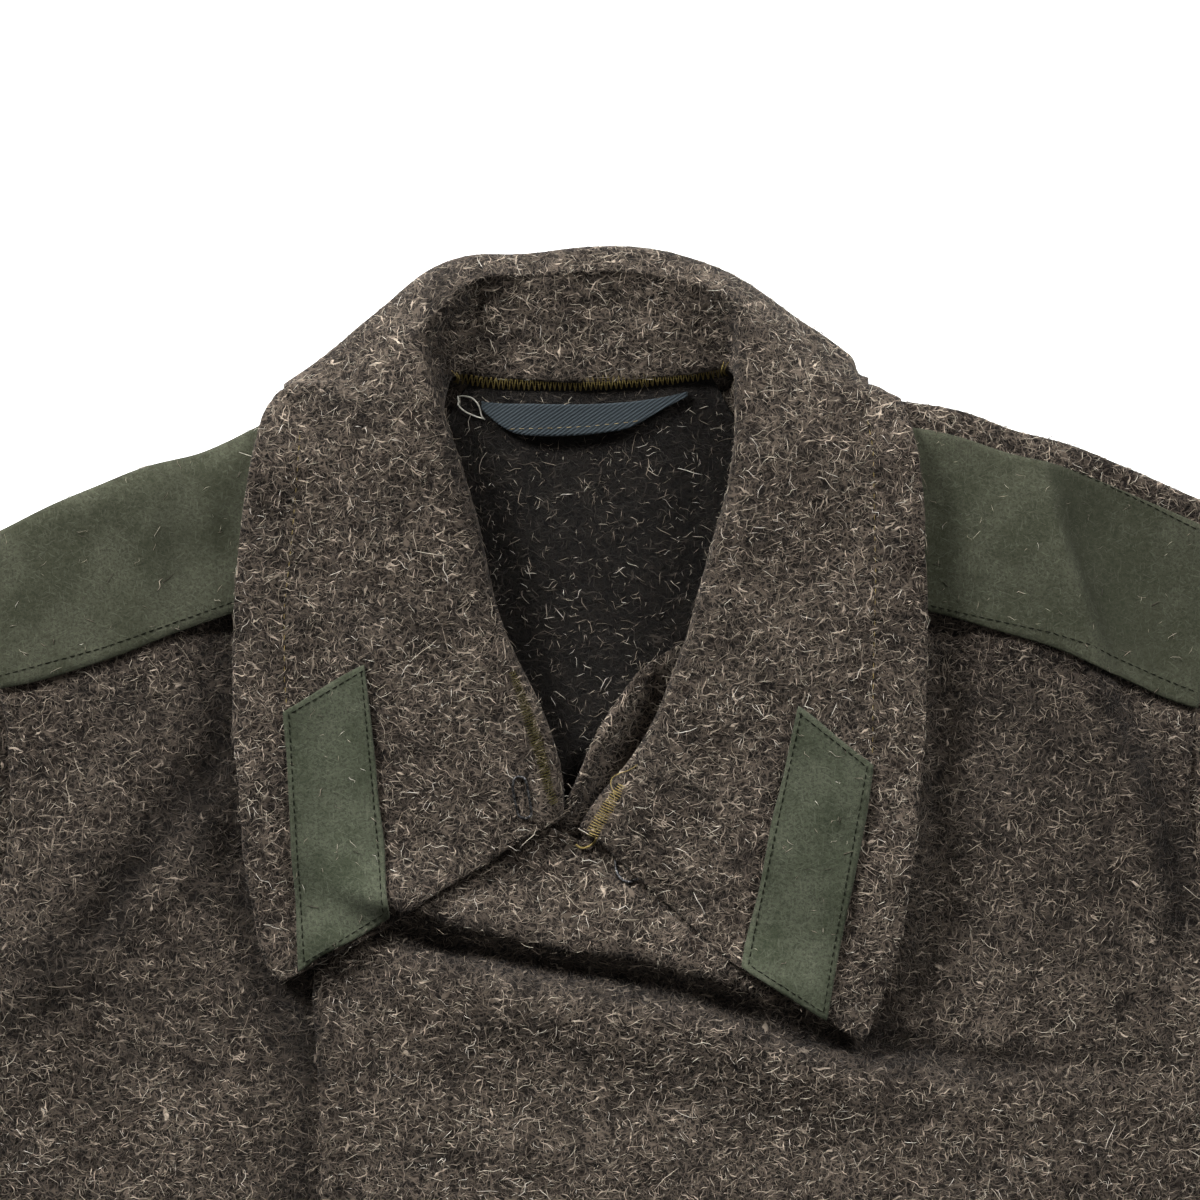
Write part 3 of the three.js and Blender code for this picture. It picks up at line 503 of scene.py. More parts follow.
# broad swells of the fronts and of what lies on them
swells = [
    fold(6.5, (44, 60), (104, 20), (112, -60), (112, -150), (104, -250)),
    fold(4.0, (44, 34), (-108, 20), (-120, -60), (-120, -150), (-112, -238)),
    fold(4.4, (6, 17), (-124, -222), (-84, -231), (-51, -242), (-14, -249), (25, -255), (64, -266),
         (98, -277), (150, -287), (240, -292)),
    fold(6.6, (13, 5.5), (-112, -198), (-86, -208), (-51, -219), (-14, -227), (25, -233), (64, -244),
         (98, -256)),
    fold(6.0, (7, 26), (182, -20), (190, -60), (200, -92), (208, -122), (224, -158), (232, -205),
         (228, -270)),
    fold(-2.0, (9, 5), (190, -22), (199, -60), (209, -92), (217, -122), (233, -158), (241, -205),
         (237, -270)),
    fold(6.0, (54, 30), (-236, -60), (-232, -150), (-226, -240), (-216, -330), (-210, -560)),
    fold(4.0, (26, 9), (-258, -262), (-206, -232), (-172, -200), (-152, -166)),
    fold(10.0, (120, 66), (-220, -372), (-60, -376), (60, -386), (300, -396)),
    fold(3.0, (110, 150), (-300, -640), (0, -600), (300, -640)),
]
armhole = {"top": (259, -70), "bottom": (289, -302), "bow": 34.0, "close": 3.4, "width": 9.0,
           "reach": 30.0, "below": 6.0}
unevenness = {"height": 0.55, "shortest": 26.0, "longest": 120.0, "waves": 22, "sideways": 0.35, "seed": 11}
# how fast a crease grows from the ends of its path, and the share of its height that it has there
creaseEnd = {"steepness": 5.0, "least": 0.05}
liftOffFloor = 6.0  # millimetres above the floor where the cloth takes the whole of a crease


def nearSegment(xs, ys, start, end):
    # how far along a segment each place is, from 0 to 1, and how far away from it
    (ax, ay), (bx, by) = start, end
    along = ((xs - ax) * (bx - ax) + (ys - ay) * (by - ay)) / ((bx - ax) ** 2 + (by - ay) ** 2)
    along = np.clip(along, 0.0, 1.0)
    return along, np.hypot(xs - ax - along * (bx - ax), ys - ay - along * (by - ay))


def creaseHeights(xs, ys, creases):
    total = np.zeros(len(xs))
    for crease in creases:
        nearest = np.full(len(xs), np.inf)
        height = np.zeros(len(xs))
        path = crease["path"]
        last = len(path) - 1
        for index, ((ax, ay), (bx, by)) in enumerate(zip(path, path[1:])):
            along, away = nearSegment(xs, ys, (ax, ay), (bx, by))
            onLeft = (bx - ax) * (ys - ay) - (by - ay) * (xs - ax) > 0
            width = np.where(onLeft, *crease["widths"])
            place = (index + along) / last
            fromEnd = np.minimum(place, 1.0 - place)
            taper = np.clip(fromEnd * creaseEnd["steepness"] + creaseEnd["least"], 0.0, 1.0)
            here = crease["height"] * taper * np.exp(-((away / width) ** 2))
            height = np.where(away < nearest, here, height)
            nearest = np.minimum(nearest, away)
        total += height
    return total


def wavesOf(seed):
    draw = random.Random(seed)
    made = []
    for _ in range(unevenness["waves"]):
        share = draw.random()
        length = unevenness["shortest"] * (unevenness["longest"] / unevenness["shortest"]) ** share
        turn = draw.uniform(0.0, 2.0 * math.pi)
        start, weight = draw.random(), math.sqrt(share + 0.15)
        made.append((math.cos(turn) / length, math.sin(turn) / length, start, weight))
    return made


def waveHeights(xs, ys, seed):
    total = np.zeros(len(xs))
    for across, up, start, weight in wavesOf(seed):
        total += weight * np.sin(2.0 * math.pi * (xs * across + ys * up + start))
    return total / math.sqrt(unevenness["waves"] / 2.0)


# Sideways moves of the cloth at the ends of the shoulders, each fading over its reach
bodyPushes = [
    {"at": (-139, -16), "by": (9.0, 2.5), "reach": 13.0},
    {"at": (-157, -23), "by": (0.0, -4.0), "reach": 17.0},
    {"at": (129, -6), "by": (-9.0, 1.5), "reach": 13.0},
    {"at": (153, -9), "by": (0.0, 2.2), "reach": 20.0},
]
collarPushes = [
    {"at": (-123, -4), "by": (-4.2, 0.0), "reach": 5.0},
    {"at": (-120, 0), "by": (-2.0, 0.0), "reach": 2.5},
    {"at": (116, 8), "by": (-5.0, -3.4), "reach": 6.5},
]


def pushed(xs, ys, pushes):
    movedX, movedY = xs, ys
    for push in pushes:
        share = np.exp(-((xs - push["at"][0]) ** 2 + (ys - push["at"][1]) ** 2) / push["reach"] ** 2)
        movedX, movedY = movedX + push["by"][0] * share, movedY + push["by"][1] * share
    return movedX, movedY


def closeArmholes(points, isSleeve):
    # the sleeves and the body meet at the armhole's curve
    (topX, topY), (bottomX, bottomY) = armhole["top"], armhole["bottom"]
    xs, ys = flatOf(points)
    xs = xs - bodyMiddle
    share = np.clip((ys - topY) / (bottomY - topY), 0.0, 1.0)
    curve = topX + (bottomX - topX) * share - armhole["bow"] * np.sin(math.pi * share)
    away = np.abs(xs) - curve
    inReach = (ys > bottomY - armhole["below"]) & (np.abs(away) < armhole["reach"])
    side = -1.0 if isSleeve else 1.0
    shift = side * armhole["close"] * np.exp(-((away / armhole["width"]) ** 2)) * inReach
    points[:, 0] += np.sign(xs) * shift * mm


def pointsOf(mesh):
    points = np.empty(len(mesh.vertices) * 3)
    mesh.vertices.foreach_get("co", points)
    return points.reshape(-1, 3)


def flatOf(points):
    return (points[:, 0] - neckSeam.x) / mm, (points[:, 1] - neckSeam.y) / mm


# how strong the painted shade is at each place, from its zones
def paintedShadeStrength(points, paths):
    xs, ys = flatOf(points)
    return np.clip(creaseHeights(xs, ys, paths), 0.0, 0.95)


# stores the painted shade as the hollow attribute, which the wool and felt materials read
def markPaintedShade(mesh, paths):
    layer = mesh.attributes.new("hollow", "FLOAT", "POINT")
    layer.data.foreach_set("value", paintedShadeStrength(pointsOf(mesh), paths))


def drape(mesh, creases, pushes, isSleeve=False):
    # every layer at a place moves alike, and what lies on the floor stays there
    points = pointsOf(mesh)
    xs, ys = flatOf(points)
    share = np.clip(points[:, 2] / mm / liftOffFloor, 0.0, 1.0)
    share = share * share * (3.0 - 2.0 * share)
    lift = waveHeights(xs, ys, unevenness["seed"]) * unevenness["height"] * share
    lift += creaseHeights(xs, ys, backCreases)
    lift += creaseHeights(xs, ys, creases) * share
    closeArmholes(points, isSleeve)
    movedX, movedY = pushed(xs, ys, pushes)
    points[:, 0] += (movedX - xs) * mm
    points[:, 1] += (movedY - ys) * mm
    points[:, 2] = np.maximum(points[:, 2] + lift * mm, 0.0)
    aside = unevenness["sideways"] * mm
    points[:, 0] += aside * waveHeights(xs, ys, unevenness["seed"] + 1)
    points[:, 1] += aside * waveHeights(xs, ys, unevenness["seed"] + 2)
    mesh.vertices.foreach_set("co", points.ravel())
    mesh.update()


# Cloth pieces, each a shell on its solid's form.
# finest and coarsest are the lengths in millimetres that a shell's edges are cut to at the collar and at
# the hem, rim is how sharp its cut edges stay, and flat is the width and length that it is cut to.
sleeve = {"look": "wool", "rim": 0.5, "finest": 7.5, "coarsest": 10.0, "creases": sleeveCreases,
          "flat": (0.40, 0.66), "area": 0.204, "on": []}
shoulderPatch = {"look": "felt", "rim": 0.75, "finest": 2.2, "coarsest": 2.4,
                 "creases": swells + bodyCreases + patchCreases, "paintedShadeZones": patchPaintedShadeZones}
collarTab = {"look": "felt", "shade": "feltTab", "rim": 0.75, "finest": 1.6, "coarsest": 1.8,
             "creases": swells + bodyCreases + collarCreases, "flat": (0.04, 0.13), "on": ["collar"]}
clothPieces = {
    "backPanel": {"node": "back", "look": "wool", "rim": 0.55, "finest": 9.0, "coarsest": 12.0,
                  "inside": "woolInsidePaintedShade", "creases": [], "flat": (0.776, 1.158), "area": 0.72, "on": []},
    "rightFront": {"node": "front_right", "look": "wool", "rim": 0.5, "finest": 4.4, "coarsest": 9.0,
                   "creases": swells + frontFold + bodyCreases + besideCollar + underEdge + underlapRoll,
                   "paintedShadeZones": paintedShadeZones, "flat": (0.48, 1.155), "area": 0.452, "on": ["back"]},
    "leftFront": {"node": "front_left", "look": "wool", "rim": 0.5, "finest": 3.6, "coarsest": 9.0,
                  "creases": swells + frontFold + bodyCreases + besideCollar + seamGrooves,
                  "paintedShadeZones": paintedShadeZones, "flat": (0.506, 1.155), "area": 0.469, "on": ["back", "front_right"]},
    "rightSleeve": {"node": "sleeve_right", **sleeve},
    "leftSleeve": {"node": "sleeve_left", **sleeve},
    "collarCloth": {"node": "collar", "look": "wool", "rim": 0.45, "finest": 2.2, "coarsest": 2.4,
                    "creases": swells + bodyCreases + collarCreases, "paintedShadeZones": collarPaintedShadeZones,
                    "flat": (0.165, 0.56), "area": 0.085, "on": ["front_right", "front_left", "back"]},
    "rightPatch": {"node": "shoulder_patch_right", **shoulderPatch, "flat": (0.13, 0.10), "area": 0.0094,
                   "on": ["front_right"]},
    "leftPatch": {"node": "shoulder_patch_left", **shoulderPatch, "flat": (0.14, 0.10), "area": 0.0102,
                  "on": ["front_left"]},
    "rightTab": {"node": "collar_tab_right", **collarTab, "area": 0.0041},
    "leftTab": {"node": "collar_tab_left", **collarTab, "area": 0.0042},
    "hangerTape": {"node": "hanger_loop", "look": "twill", "rim": 0.7, "finest": 1.0, "coarsest": 1.2,
                   "creases": [], "flat": (0.085, 0.014), "area": 0.0009, "on": ["back"]},
}
shellSettings = {"levels": 2, "rimAngle": 0.8, "coarseFrom": -345.0, "coarseTo": -700.0,
                 "rounds": 4, "tooLong": 1.45}


def edgeLimit(piece, edge):
    y = ((edge.verts[0].co.y + edge.verts[1].co.y) / 2.0 - neckSeam.y) / mm
    share = (shellSettings["coarseFrom"] - y) / (shellSettings["coarseFrom"] - shellSettings["coarseTo"])
    share = min(max(share, 0.0), 1.0)
    return (piece["finest"] + (piece["coarsest"] - piece["finest"]) * share) * mm


def rounded(nodeMesh, rim, levels):
    # a merged copy in quads whose rims stay nearly sharp while the rest is rounded
    bm = bmesh.new()
    bm.from_mesh(nodeMesh)
    bmesh.ops.remove_doubles(bm, verts=bm.verts, dist=1e-6)
    bmesh.ops.join_triangles(bm, faces=bm.faces, angle_face_threshold=1.2, angle_shape_threshold=math.pi)
    sharpness = bm.edges.layers.float.new("crease_edge")
    for edge in bm.edges:
        if edge.calc_face_angle(0.0) > shellSettings["rimAngle"]:
            edge[sharpness] = rim
    plain = bpy.data.meshes.new("plain")
    bm.to_mesh(plain)
    bm.free()
    holder = addObject("plain", plain)
    smoothing = holder.modifiers.new("rounding", "SUBSURF")
    smoothing.levels = levels
    smoothing.render_levels = levels
    mesh = bpy.data.meshes.new_from_object(holder.evaluated_get(bpy.context.evaluated_depsgraph_get()))
    bpy.data.objects.remove(holder)
    return mesh


def makeShell(name):
    piece = clothPieces[name]
    mesh = rounded(nodes[piece["node"]].data, piece["rim"], shellSettings["levels"])
    bm = bmesh.new()
    bm.from_mesh(mesh)
    for _ in range(shellSettings["rounds"]):
        tooLong = [
            edge for edge in bm.edges
            if edge.calc_length() > shellSettings["tooLong"] * edgeLimit(piece, edge)
        ]
        if not tooLong:
            break
        bmesh.ops.subdivide_edges(bm, edges=tooLong, cuts=1, use_grid_fill=True)
    bmesh.ops.triangulate(bm, faces=[face for face in bm.faces if len(face.verts) > 4])
    for face in bm.faces:
        face.smooth = True
    bm.to_mesh(mesh)
    bm.free()
    for layer in [a for a in mesh.attributes if a.name in ("crease_edge", "crease_vert")]:
        mesh.attributes.remove(layer)
    # the painted shade's zones, stored on the shell
    if "paintedShadeZones" in piece:
        markPaintedShade(mesh, piece["paintedShadeZones"])
    pushes = collarPushes if piece["node"] == "collar" else bodyPushes
    drape(mesh, piece["creases"], pushes, piece["creases"] is sleeveCreases)
    mesh.name = name
    mesh.materials.clear()
    mesh.materials.append(looks[piece.get("shade", piece["look"])])
    # the inside faces get the darker copy of the wool, painted shade for the shadow inside the neck
    if "inside" in piece:
        mesh.materials.append(looks[piece["inside"]])
        for face in mesh.polygons:
            face.material_index = 1 if face.normal.z > 0.0 else 0
    shell = addObject(name, mesh)
    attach(shell, "root")
    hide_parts(piece["node"])
    return shell


makeCamera()
makeLights()
shells = {name: makeShell(name) for name in clothPieces}
print("cloth shells:", {name: len(shell.data.polygons) for name, shell in shells.items()})


# Sewing


overCoat = 60.0  # millimetres above the floor, over every piece
underFall = 17.0  # below the collar's fall, over the back


def surfaceOf(names):
    # one tree over the finished shells of those names
    points, faces = [], []
    for name in names:
        mesh = shells[name].data
        start = len(points)
        points.extend(vertex.co.copy() for vertex in mesh.vertices)
        faces.extend([start + corner for corner in face.vertices] for face in mesh.polygons)
    return BVHTree.FromPolygons(points, faces)


def dropOn(surface, x, y, above):
    # the first cloth met straight down from that height in millimetres
    place, normal, _, _ = surface.ray_cast(atFlat(x, y, above), Vector((0.0, 0.0, -1.0)))
    if place is None:
        place, normal, _, _ = surface.find_nearest(atFlat(x, y, 8.0))
    return place, normal if normal.z > 0.0 else -normal


def walkAlong(path, step):
    # evenly spaced places on a polyline of flat places, with the way that it goes there
    places = []
    spare = 0.0
    for (ax, ay), (bx, by) in zip(path, path[1:]):
        length = math.hypot(bx - ax, by - ay)
        along = spare
        while along <= length:
            share = along / length
            places.append((ax + (bx - ax) * share, ay + (by - ay) * share,
                           (bx - ax) / length, (by - ay) / length))
            along += step
        spare = along - length
    return places


def formOf(sides, rings):
    # a rod one unit long on X, with its rings' share along it and their places across it
    bm = bmesh.new()
    bmesh.ops.create_uvsphere(bm, u_segments=sides, v_segments=rings, radius=1.0)
    points = np.array([tuple(vertex.co) for vertex in bm.verts])
    bmesh.ops.triangulate(bm, faces=bm.faces)
    faces = np.array([[vertex.index for vertex in face.verts] for face in bm.faces])
    bm.free()
    along = (1.0 - points[:, 2]) / 2.0
    return along, points[:, 0], points[:, 1], faces


def joinForms(name, look, form, paths, radius, blunt=1.0, shades=None):
    # one mesh of many copies of a form, each bent along its own path of points (copies x stations x 3).
    # blunt below 1 keeps a rod's thickness nearly to its ends.
    along, across, up, faces = form
    paths = np.asarray(paths)
    copies, stations = paths.shape[:2]
    place = along * (stations - 1)
    index = np.clip(np.floor(place).astype(int), 0, stations - 2)
    share = (place - index)[None, :, None]
    centre = paths[:, index] * (1.0 - share) + paths[:, index + 1] * share
    heading = paths[:, index + 1] - paths[:, index]
    heading /= np.maximum(np.linalg.norm(heading, axis=2, keepdims=True), 1e-9)
    top = np.broadcast_to(np.array([0.03, 0.05, 1.0]), heading.shape)
    side = np.cross(top, heading)
    side /= np.maximum(np.linalg.norm(side, axis=2, keepdims=True), 1e-9)
    upward = np.cross(heading, side)
    spread = np.hypot(across, up)
    grow = np.where(spread > 1e-6, spread ** (blunt - 1.0), 0.0)
    thick = np.broadcast_to(np.asarray(radius).reshape(-1, 1, 1), (copies, 1, 1))
    points = centre + thick * (side * (across * grow)[None, :, None] + upward * (up * grow)[None, :, None])
    count = len(along)
    allFaces = (faces[None, :, :] + (np.arange(copies) * count)[:, None, None]).reshape(-1, 3)
    mesh = bpy.data.meshes.new(name)
    mesh.vertices.add(copies * count)
    mesh.vertices.foreach_set("co", points.reshape(-1))
    mesh.loops.add(len(allFaces) * 3)
    mesh.loops.foreach_set("vertex_index", allFaces.reshape(-1).astype(np.int32))
    mesh.polygons.add(len(allFaces))
    mesh.polygons.foreach_set("loop_start", (np.arange(len(allFaces)) * 3).astype(np.int32))
    mesh.polygons.foreach_set("use_smooth", np.ones(len(allFaces), dtype=bool))
    if shades is not None:
        layer = mesh.attributes.new("shade", "FLOAT", "POINT")
        layer.data.foreach_set("value", np.repeat(np.asarray(shades), count).astype(np.float32))
    mesh.update(calc_edges=True)
    mesh.materials.append(looks[look])
    piece = addObject(name, mesh)
    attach(piece, "root")
    return piece


def arch(start, end, normal, rise, sink, stations=7):
    # a thread from place to place, standing up by rise and going into the cloth by sink, in millimetres
    path = []
    for index in range(stations):
        share = index / (stations - 1)
        height = (rise + sink) * math.sqrt(max(0.0, 1.0 - (2.0 * share - 1.0) ** 2)) - sink
        path.append(start.lerp(end, share) + normal * (height * mm))
    return path


def inset(corners, distance):
    # a closed outline of flat places, moved inwards
    count = len(corners)
    midX = sum(x for x, y in corners) / count
    midY = sum(y for x, y in corners) / count
    moved = []
    for index, (x, y) in enumerate(corners):
        shifts = []
        for other in (corners[index - 1], corners[(index + 1) % count]):
            edge = Vector((other[0] - x, other[1] - y)).normalized()
            inward = Vector((-edge.y, edge.x))
            if inward.dot(Vector((midX - x, midY - y))) < 0.0:
                inward = -inward
            shifts.append(inward)
        between = shifts[0] + shifts[1]
        moved.append((x + between.x * distance / (1.0 + shifts[0].dot(shifts[1])),
                      y + between.y * distance / (1.0 + shifts[0].dot(shifts[1]))))
    return moved + moved[:1]


rightTabCorners = [(-91, -111.5), (-125, -131.5), (-118.5, -238), (-81.5, -215)]
leftTabCorners = [(84, -128.5), (115, -153), (96.5, -257.5), (61.8, -235)]

# stitch and gap are lengths along the seam, thick is the thread's thickness, sink how far it is pulled in
stitchRuns = {
    "tabSewing": {"look": "dark", "on": ["rightTab", "leftTab"], "stitch": 2.6, "gap": 0.6, "thick": 0.56,
                  "rise": 0.2, "paths": [inset(rightTabCorners, 2.3), inset(leftTabCorners, 2.3)]},
    "patchSewing": {"look": "dark", "on": ["rightPatch", "leftPatch"], "stitch": 2.7, "gap": 0.7,
                    "thick": 0.54, "rise": 0.18, "paths": [
                        [(-255, -120.3), (-242, -117.3), (-200, -105.8), (-166, -93.8), (-146, -86.8)],
                        [(134, -87.2), (163, -93.8), (188, -99.3), (204, -104.3), (217, -110.3),
                         (235, -118.3), (250, -124.3), (261, -128.3)],
                        [(137, -14.2), (150, -17.4), (168, -22.6), (189, -29), (209, -37.5), (230, -47.5),
                         (250, -57.6)]]},
    "collarSewing": {"look": "olive", "on": ["collarCloth"], "stitch": 3.0, "gap": 1.3, "thick": 0.4,
                     "rise": 0.02, "paths": [
                         [(-118.3, -20), (-119.3, -36.5), (-122.2, -68.5), (-124.6, -90), (-124.6, -118),
                          (-123.6, -130)],
                         [(113, -14), (114.8, -24.6), (116, -79), (115.2, -118), (114.8, -150)]]},
    "flySewing": {"look": "dark", "on": ["leftFront"], "stitch": 3.2, "gap": 1.6, "thick": 0.45, "rise": 0.0,
                  "paths": [[(-86, -268), (-86, -400), (-87, -700), (-88, -1140)],
                            [(-41, -262), (-41, -400), (-42, -700), (-43, -1100)]]},
    "hangerSewing": {"look": "tan", "on": ["hangerTape"], "stitch": 2.6, "gap": 1.3, "thick": 0.34,
                     "rise": 0.14,
                     "paths": [[(-32, -15.9), (-16, -15.6), (0, -14.8), (12, -13.6), (21.5, -12.4)]]},
}


def makeStitches(name):
    run = stitchRuns[name]
    surface = surfaceOf(run["on"])
    draw = random.Random(name)
    paths = []
    for path in run["paths"]:
        for x, y, alongX, alongY in walkAlong(path, run["stitch"] + run["gap"]):
            half = run["stitch"] / 2.0 * draw.uniform(0.88, 1.06)
            lean = draw.uniform(-0.12, 0.12)
            startX, startY = x - alongX * half + alongY * lean, y - alongY * half - alongX * lean
            endX, endY = x + alongX * half - alongY * lean, y + alongY * half + alongX * lean
            start, _ = dropOn(surface, startX, startY, overCoat)
            end, normal = dropOn(surface, endX, endY, overCoat)
            paths.append(arch(start, end, normal, run["rise"], 0.3))
    return joinForms(name, run["look"], formOf(6, 5), paths, run["thick"] / 2.0 * mm, 0.55)


for name in stitchRuns:
    makeStitches(name)

# Each band is sewn across its path. width holds the stitches' reach at its start, middle and end. pitch is
# from one stitch to the next. slant is how far along each one leans, to either side in turn in a zigzag.
stitchBands = {
    "napeZigzag": {"look": "olive", "on": ["collarCloth", "backPanel"], "above": underFall, "pitch": 1.05,
                   "slant": 1.0, "zigzag": True, "width": (5.0, 6.6, 6.0), "thick": 0.5,
                   "path": [(-56.8, 5.9), (-40.3, 3.3), (-23.5, 2.9), (-3.9, 2.9), (15.6, 3.7), (33.5, 5.5),
                            (48.6, 7.4), (57.5, 9.2)]},
    "rightEdgeBand": {"look": "deepOlive", "on": ["collarCloth"], "above": overCoat, "pitch": 1.1,
                      "slant": 0.5, "zigzag": False, "width": (3.5, 6.6, 4.0), "thick": 0.42,
                      "path": [(-31.6, -115.6), (-28.4, -123.8), (-24.8, -134.5), (-21.6, -144.3),
                               (-18.8, -154.2), (-16.6, -164), (-14.6, -169.3)]},
    "leftEdgeBand": {"look": "mustard", "on": ["collarCloth"], "above": overCoat, "pitch": 1.1,
                     "slant": 0.5, "zigzag": False, "width": (3.5, 6.4, 6.0), "thick": 0.44,
                     "path": [(12.9, -161.7), (9.6, -166.4), (6.2, -172.5), (2.8, -178), (0.6, -182.7)]},
}


def makeBand(name):
    band = stitchBands[name]
    surface = surfaceOf(band["on"])
    draw = random.Random(name)
    steps = walkAlong(band["path"], band["pitch"])
    paths = []
    for index, (x, y, alongX, alongY) in enumerate(steps):
        share = index / max(len(steps) - 1, 1)
        narrow, full, last = band["width"]
        if share < 0.5:
            width = narrow + (full - narrow) * share * 2.0
        else:
            width = full + (last - full) * (share * 2.0 - 1.0)
        half = width / 2.0 * draw.uniform(0.86, 1.08)
        lean = band["slant"] * (-1.0 if band["zigzag"] and index % 2 else 1.0) * draw.uniform(0.7, 1.3) / 2.0
        mid, normal = dropOn(surface, x, y, band["above"])
        acrossX, acrossY = alongY * half + alongX * lean, alongX * half - alongY * lean
        start, _ = dropOn(surface, x - acrossX, y + acrossY, band["above"])
        end, _ = dropOn(surface, x + acrossX, y - acrossY, band["above"])
        path = arch(start, end, normal, 0.35, 0.3)
        middle = len(path) // 2
        rise = max(0.0, (mid - path[middle]).dot(normal) + 0.3 * mm)
        for station, point in enumerate(path):
            path[station] = point + normal * rise * math.sin(math.pi * station / (len(path) - 1))
        paths.append(path)
    return joinForms(name, band["look"], formOf(6, 6), paths, band["thick"] / 2.0 * mm, 0.5)


for name in stitchBands:
    makeBand(name)

# Loose threads: flat places, each with its height over the cloth in millimetres
looseThreads = {
    "hangerThread": {"look": "cream", "on": ["backPanel", "hangerTape"], "above": underFall, "thick": 0.62,
                     "path": [
        (-43.4, -11.6, 0.3), (-47, -10.6, 0.6), (-51.5, -8.6, 0.8), (-54.1, -6.1, 0.8), (-55, -3.9, 0.7),
        (-53.3, -2.7, 0.7), (-49.2, -2.8, 0.8), (-46.4, -5.2, 0.8), (-45.2, -7.9, 0.7), (-44.6, -10.4, 0.5),
        (-43.2, -12.0, 0.2)]},
    "edgeThread": {"look": "mustard", "on": ["collarCloth", "leftFront"], "above": overCoat, "thick": 0.34,
                   "path": [
        (19.5, -153.0, 0.2), (16.5, -155.4, 0.6), (12.4, -157.4, 1.0), (9.8, -159.6, 1.2), (9.2, -162.4, 1.0),
        (10.6, -165.0, 0.6), (12.6, -166.4, 0.1)]},
    "edgeTail": {"look": "mustard", "on": ["collarCloth", "leftFront"], "above": overCoat, "thick": 0.9,
                 "path": [
        (2.8, -183.0, 0.5), (1.6, -185.6, 0.7), (-0.8, -187.4, 0.8), (-3.6, -187.8, 0.7),
        (-5.8, -186.4, 0.3)]},
}


def smoothPath(points, steps):
    # a rounded line through the points
    line = []
    for index in range(len(points) - 1):
        before = points[max(index - 1, 0)]
        start, end = points[index], points[index + 1]
        after = points[min(index + 2, len(points) - 1)]
        for step in range(steps):
            t = step / steps
            first, second = end - before, 2.0 * before - 5.0 * start + 4.0 * end - after
            third = 3.0 * start - before - 3.0 * end + after
            line.append(0.5 * (2.0 * start + first * t + second * t * t + third * t * t * t))
    line.append(points[-1])
    return line


def makeTube(name, look, line, thick, sides=8):
    form = formOf(sides, 4 * len(line))
    return joinForms(name, look, form, [line], thick / 2.0 * mm, 0.12)


for name, thread in looseThreads.items():
    surface = surfaceOf(thread["on"])
    points = []
    for x, y, over in thread["path"]:
        place, normal = dropOn(surface, x, y, thread["above"])
        points.append(place + normal * (over + thread["thick"] / 2.0) * mm)
    makeTube(name, thread["look"], smoothPath(points, 5), thread["thick"])
print("sewing done")


# Hook and eye

wires = {
    "eyeWire": {"node": "collar_eye", "thick": 1.2, "lift": 0.8, "path": [
        (-29.4, -173.6), (-31.0, -166), (-31.4, -161.4), (-30.6, -158.9), (-28.7, -158.1), (-26.8, -158.9),
        (-25.7, -161.4), (-25.0, -166), (-24.0, -172.2), (-24.4, -174.2), (-26.2, -175.0), (-28.4, -174.6),
        (-29.4, -173.2)]},
    "hookWire": {"node": "collar_hook", "thick": 1.2, "lift": 0.8, "path": [
        (10.3, -193.0), (10.6, -196.4), (11.6, -199.4), (13.4, -201.2), (15.8, -201.9), (18.2, -201.2),
        (19.8, -199.6)]},
}


def makeWire(name):
    wire = wires[name]
    surface = surfaceOf(["collarCloth", "leftFront"])
    points = []
    for x, y in wire["path"]:
        place, normal = dropOn(surface, x, y, overCoat)
        points.append(place + normal * wire["lift"] * mm)
    piece = makeTube(name, "steel", smoothPath(points, 5), wire["thick"], 10)
    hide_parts(wire["node"])


for name in wires:
    makeWire(name)
print("wires done")


# The wool's long hairs, and a few on the felt.
# Lengths and thicknesses are in millimetres, bend is how far a hair turns from end to end, in radians,
# and near and far are hairs for each square metre round the collar and elsewhere.
hairKinds = {
    "short": {"near": 104000, "far": 6500, "length": (1.8, 4.6), "thick": (0.18, 0.32),
              "bend": 1.3, "rings": 2},
    "middle": {"near": 56000, "far": 4200, "length": (3.4, 7.4), "thick": (0.22, 0.36),
               "bend": 2.0, "rings": 3},
    "long": {"near": 6500, "far": 900, "length": (6.0, 13.0), "thick": (0.26, 0.42),
             "bend": 2.6, "rings": 5},
}
hairyPieces = {
    "rightFront": 1.0, "leftFront": 1.0, "collarCloth": 1.0, "rightSleeve": 0.55, "leftSleeve": 0.55,
    "backPanel": 0.4, "rightPatch": 0.05, "leftPatch": 0.05, "rightTab": 0.06, "leftTab": 0.06,
}
hairSettings = {
    "seed": 7, "undersideShare": 0.45, "nearFrom": -350.0, "nearTo": -430.0, "clearance": 14.0,
    "lift": (0.02, 0.32), "wildShare": 0.3, "wildRise": (0.3, 1.1),
    "pale": 0.20, "deep": 0.22, "hairPaintedShade": 0.7, "rootDepth": 2e-4, "floorGap": 1e-4,
}


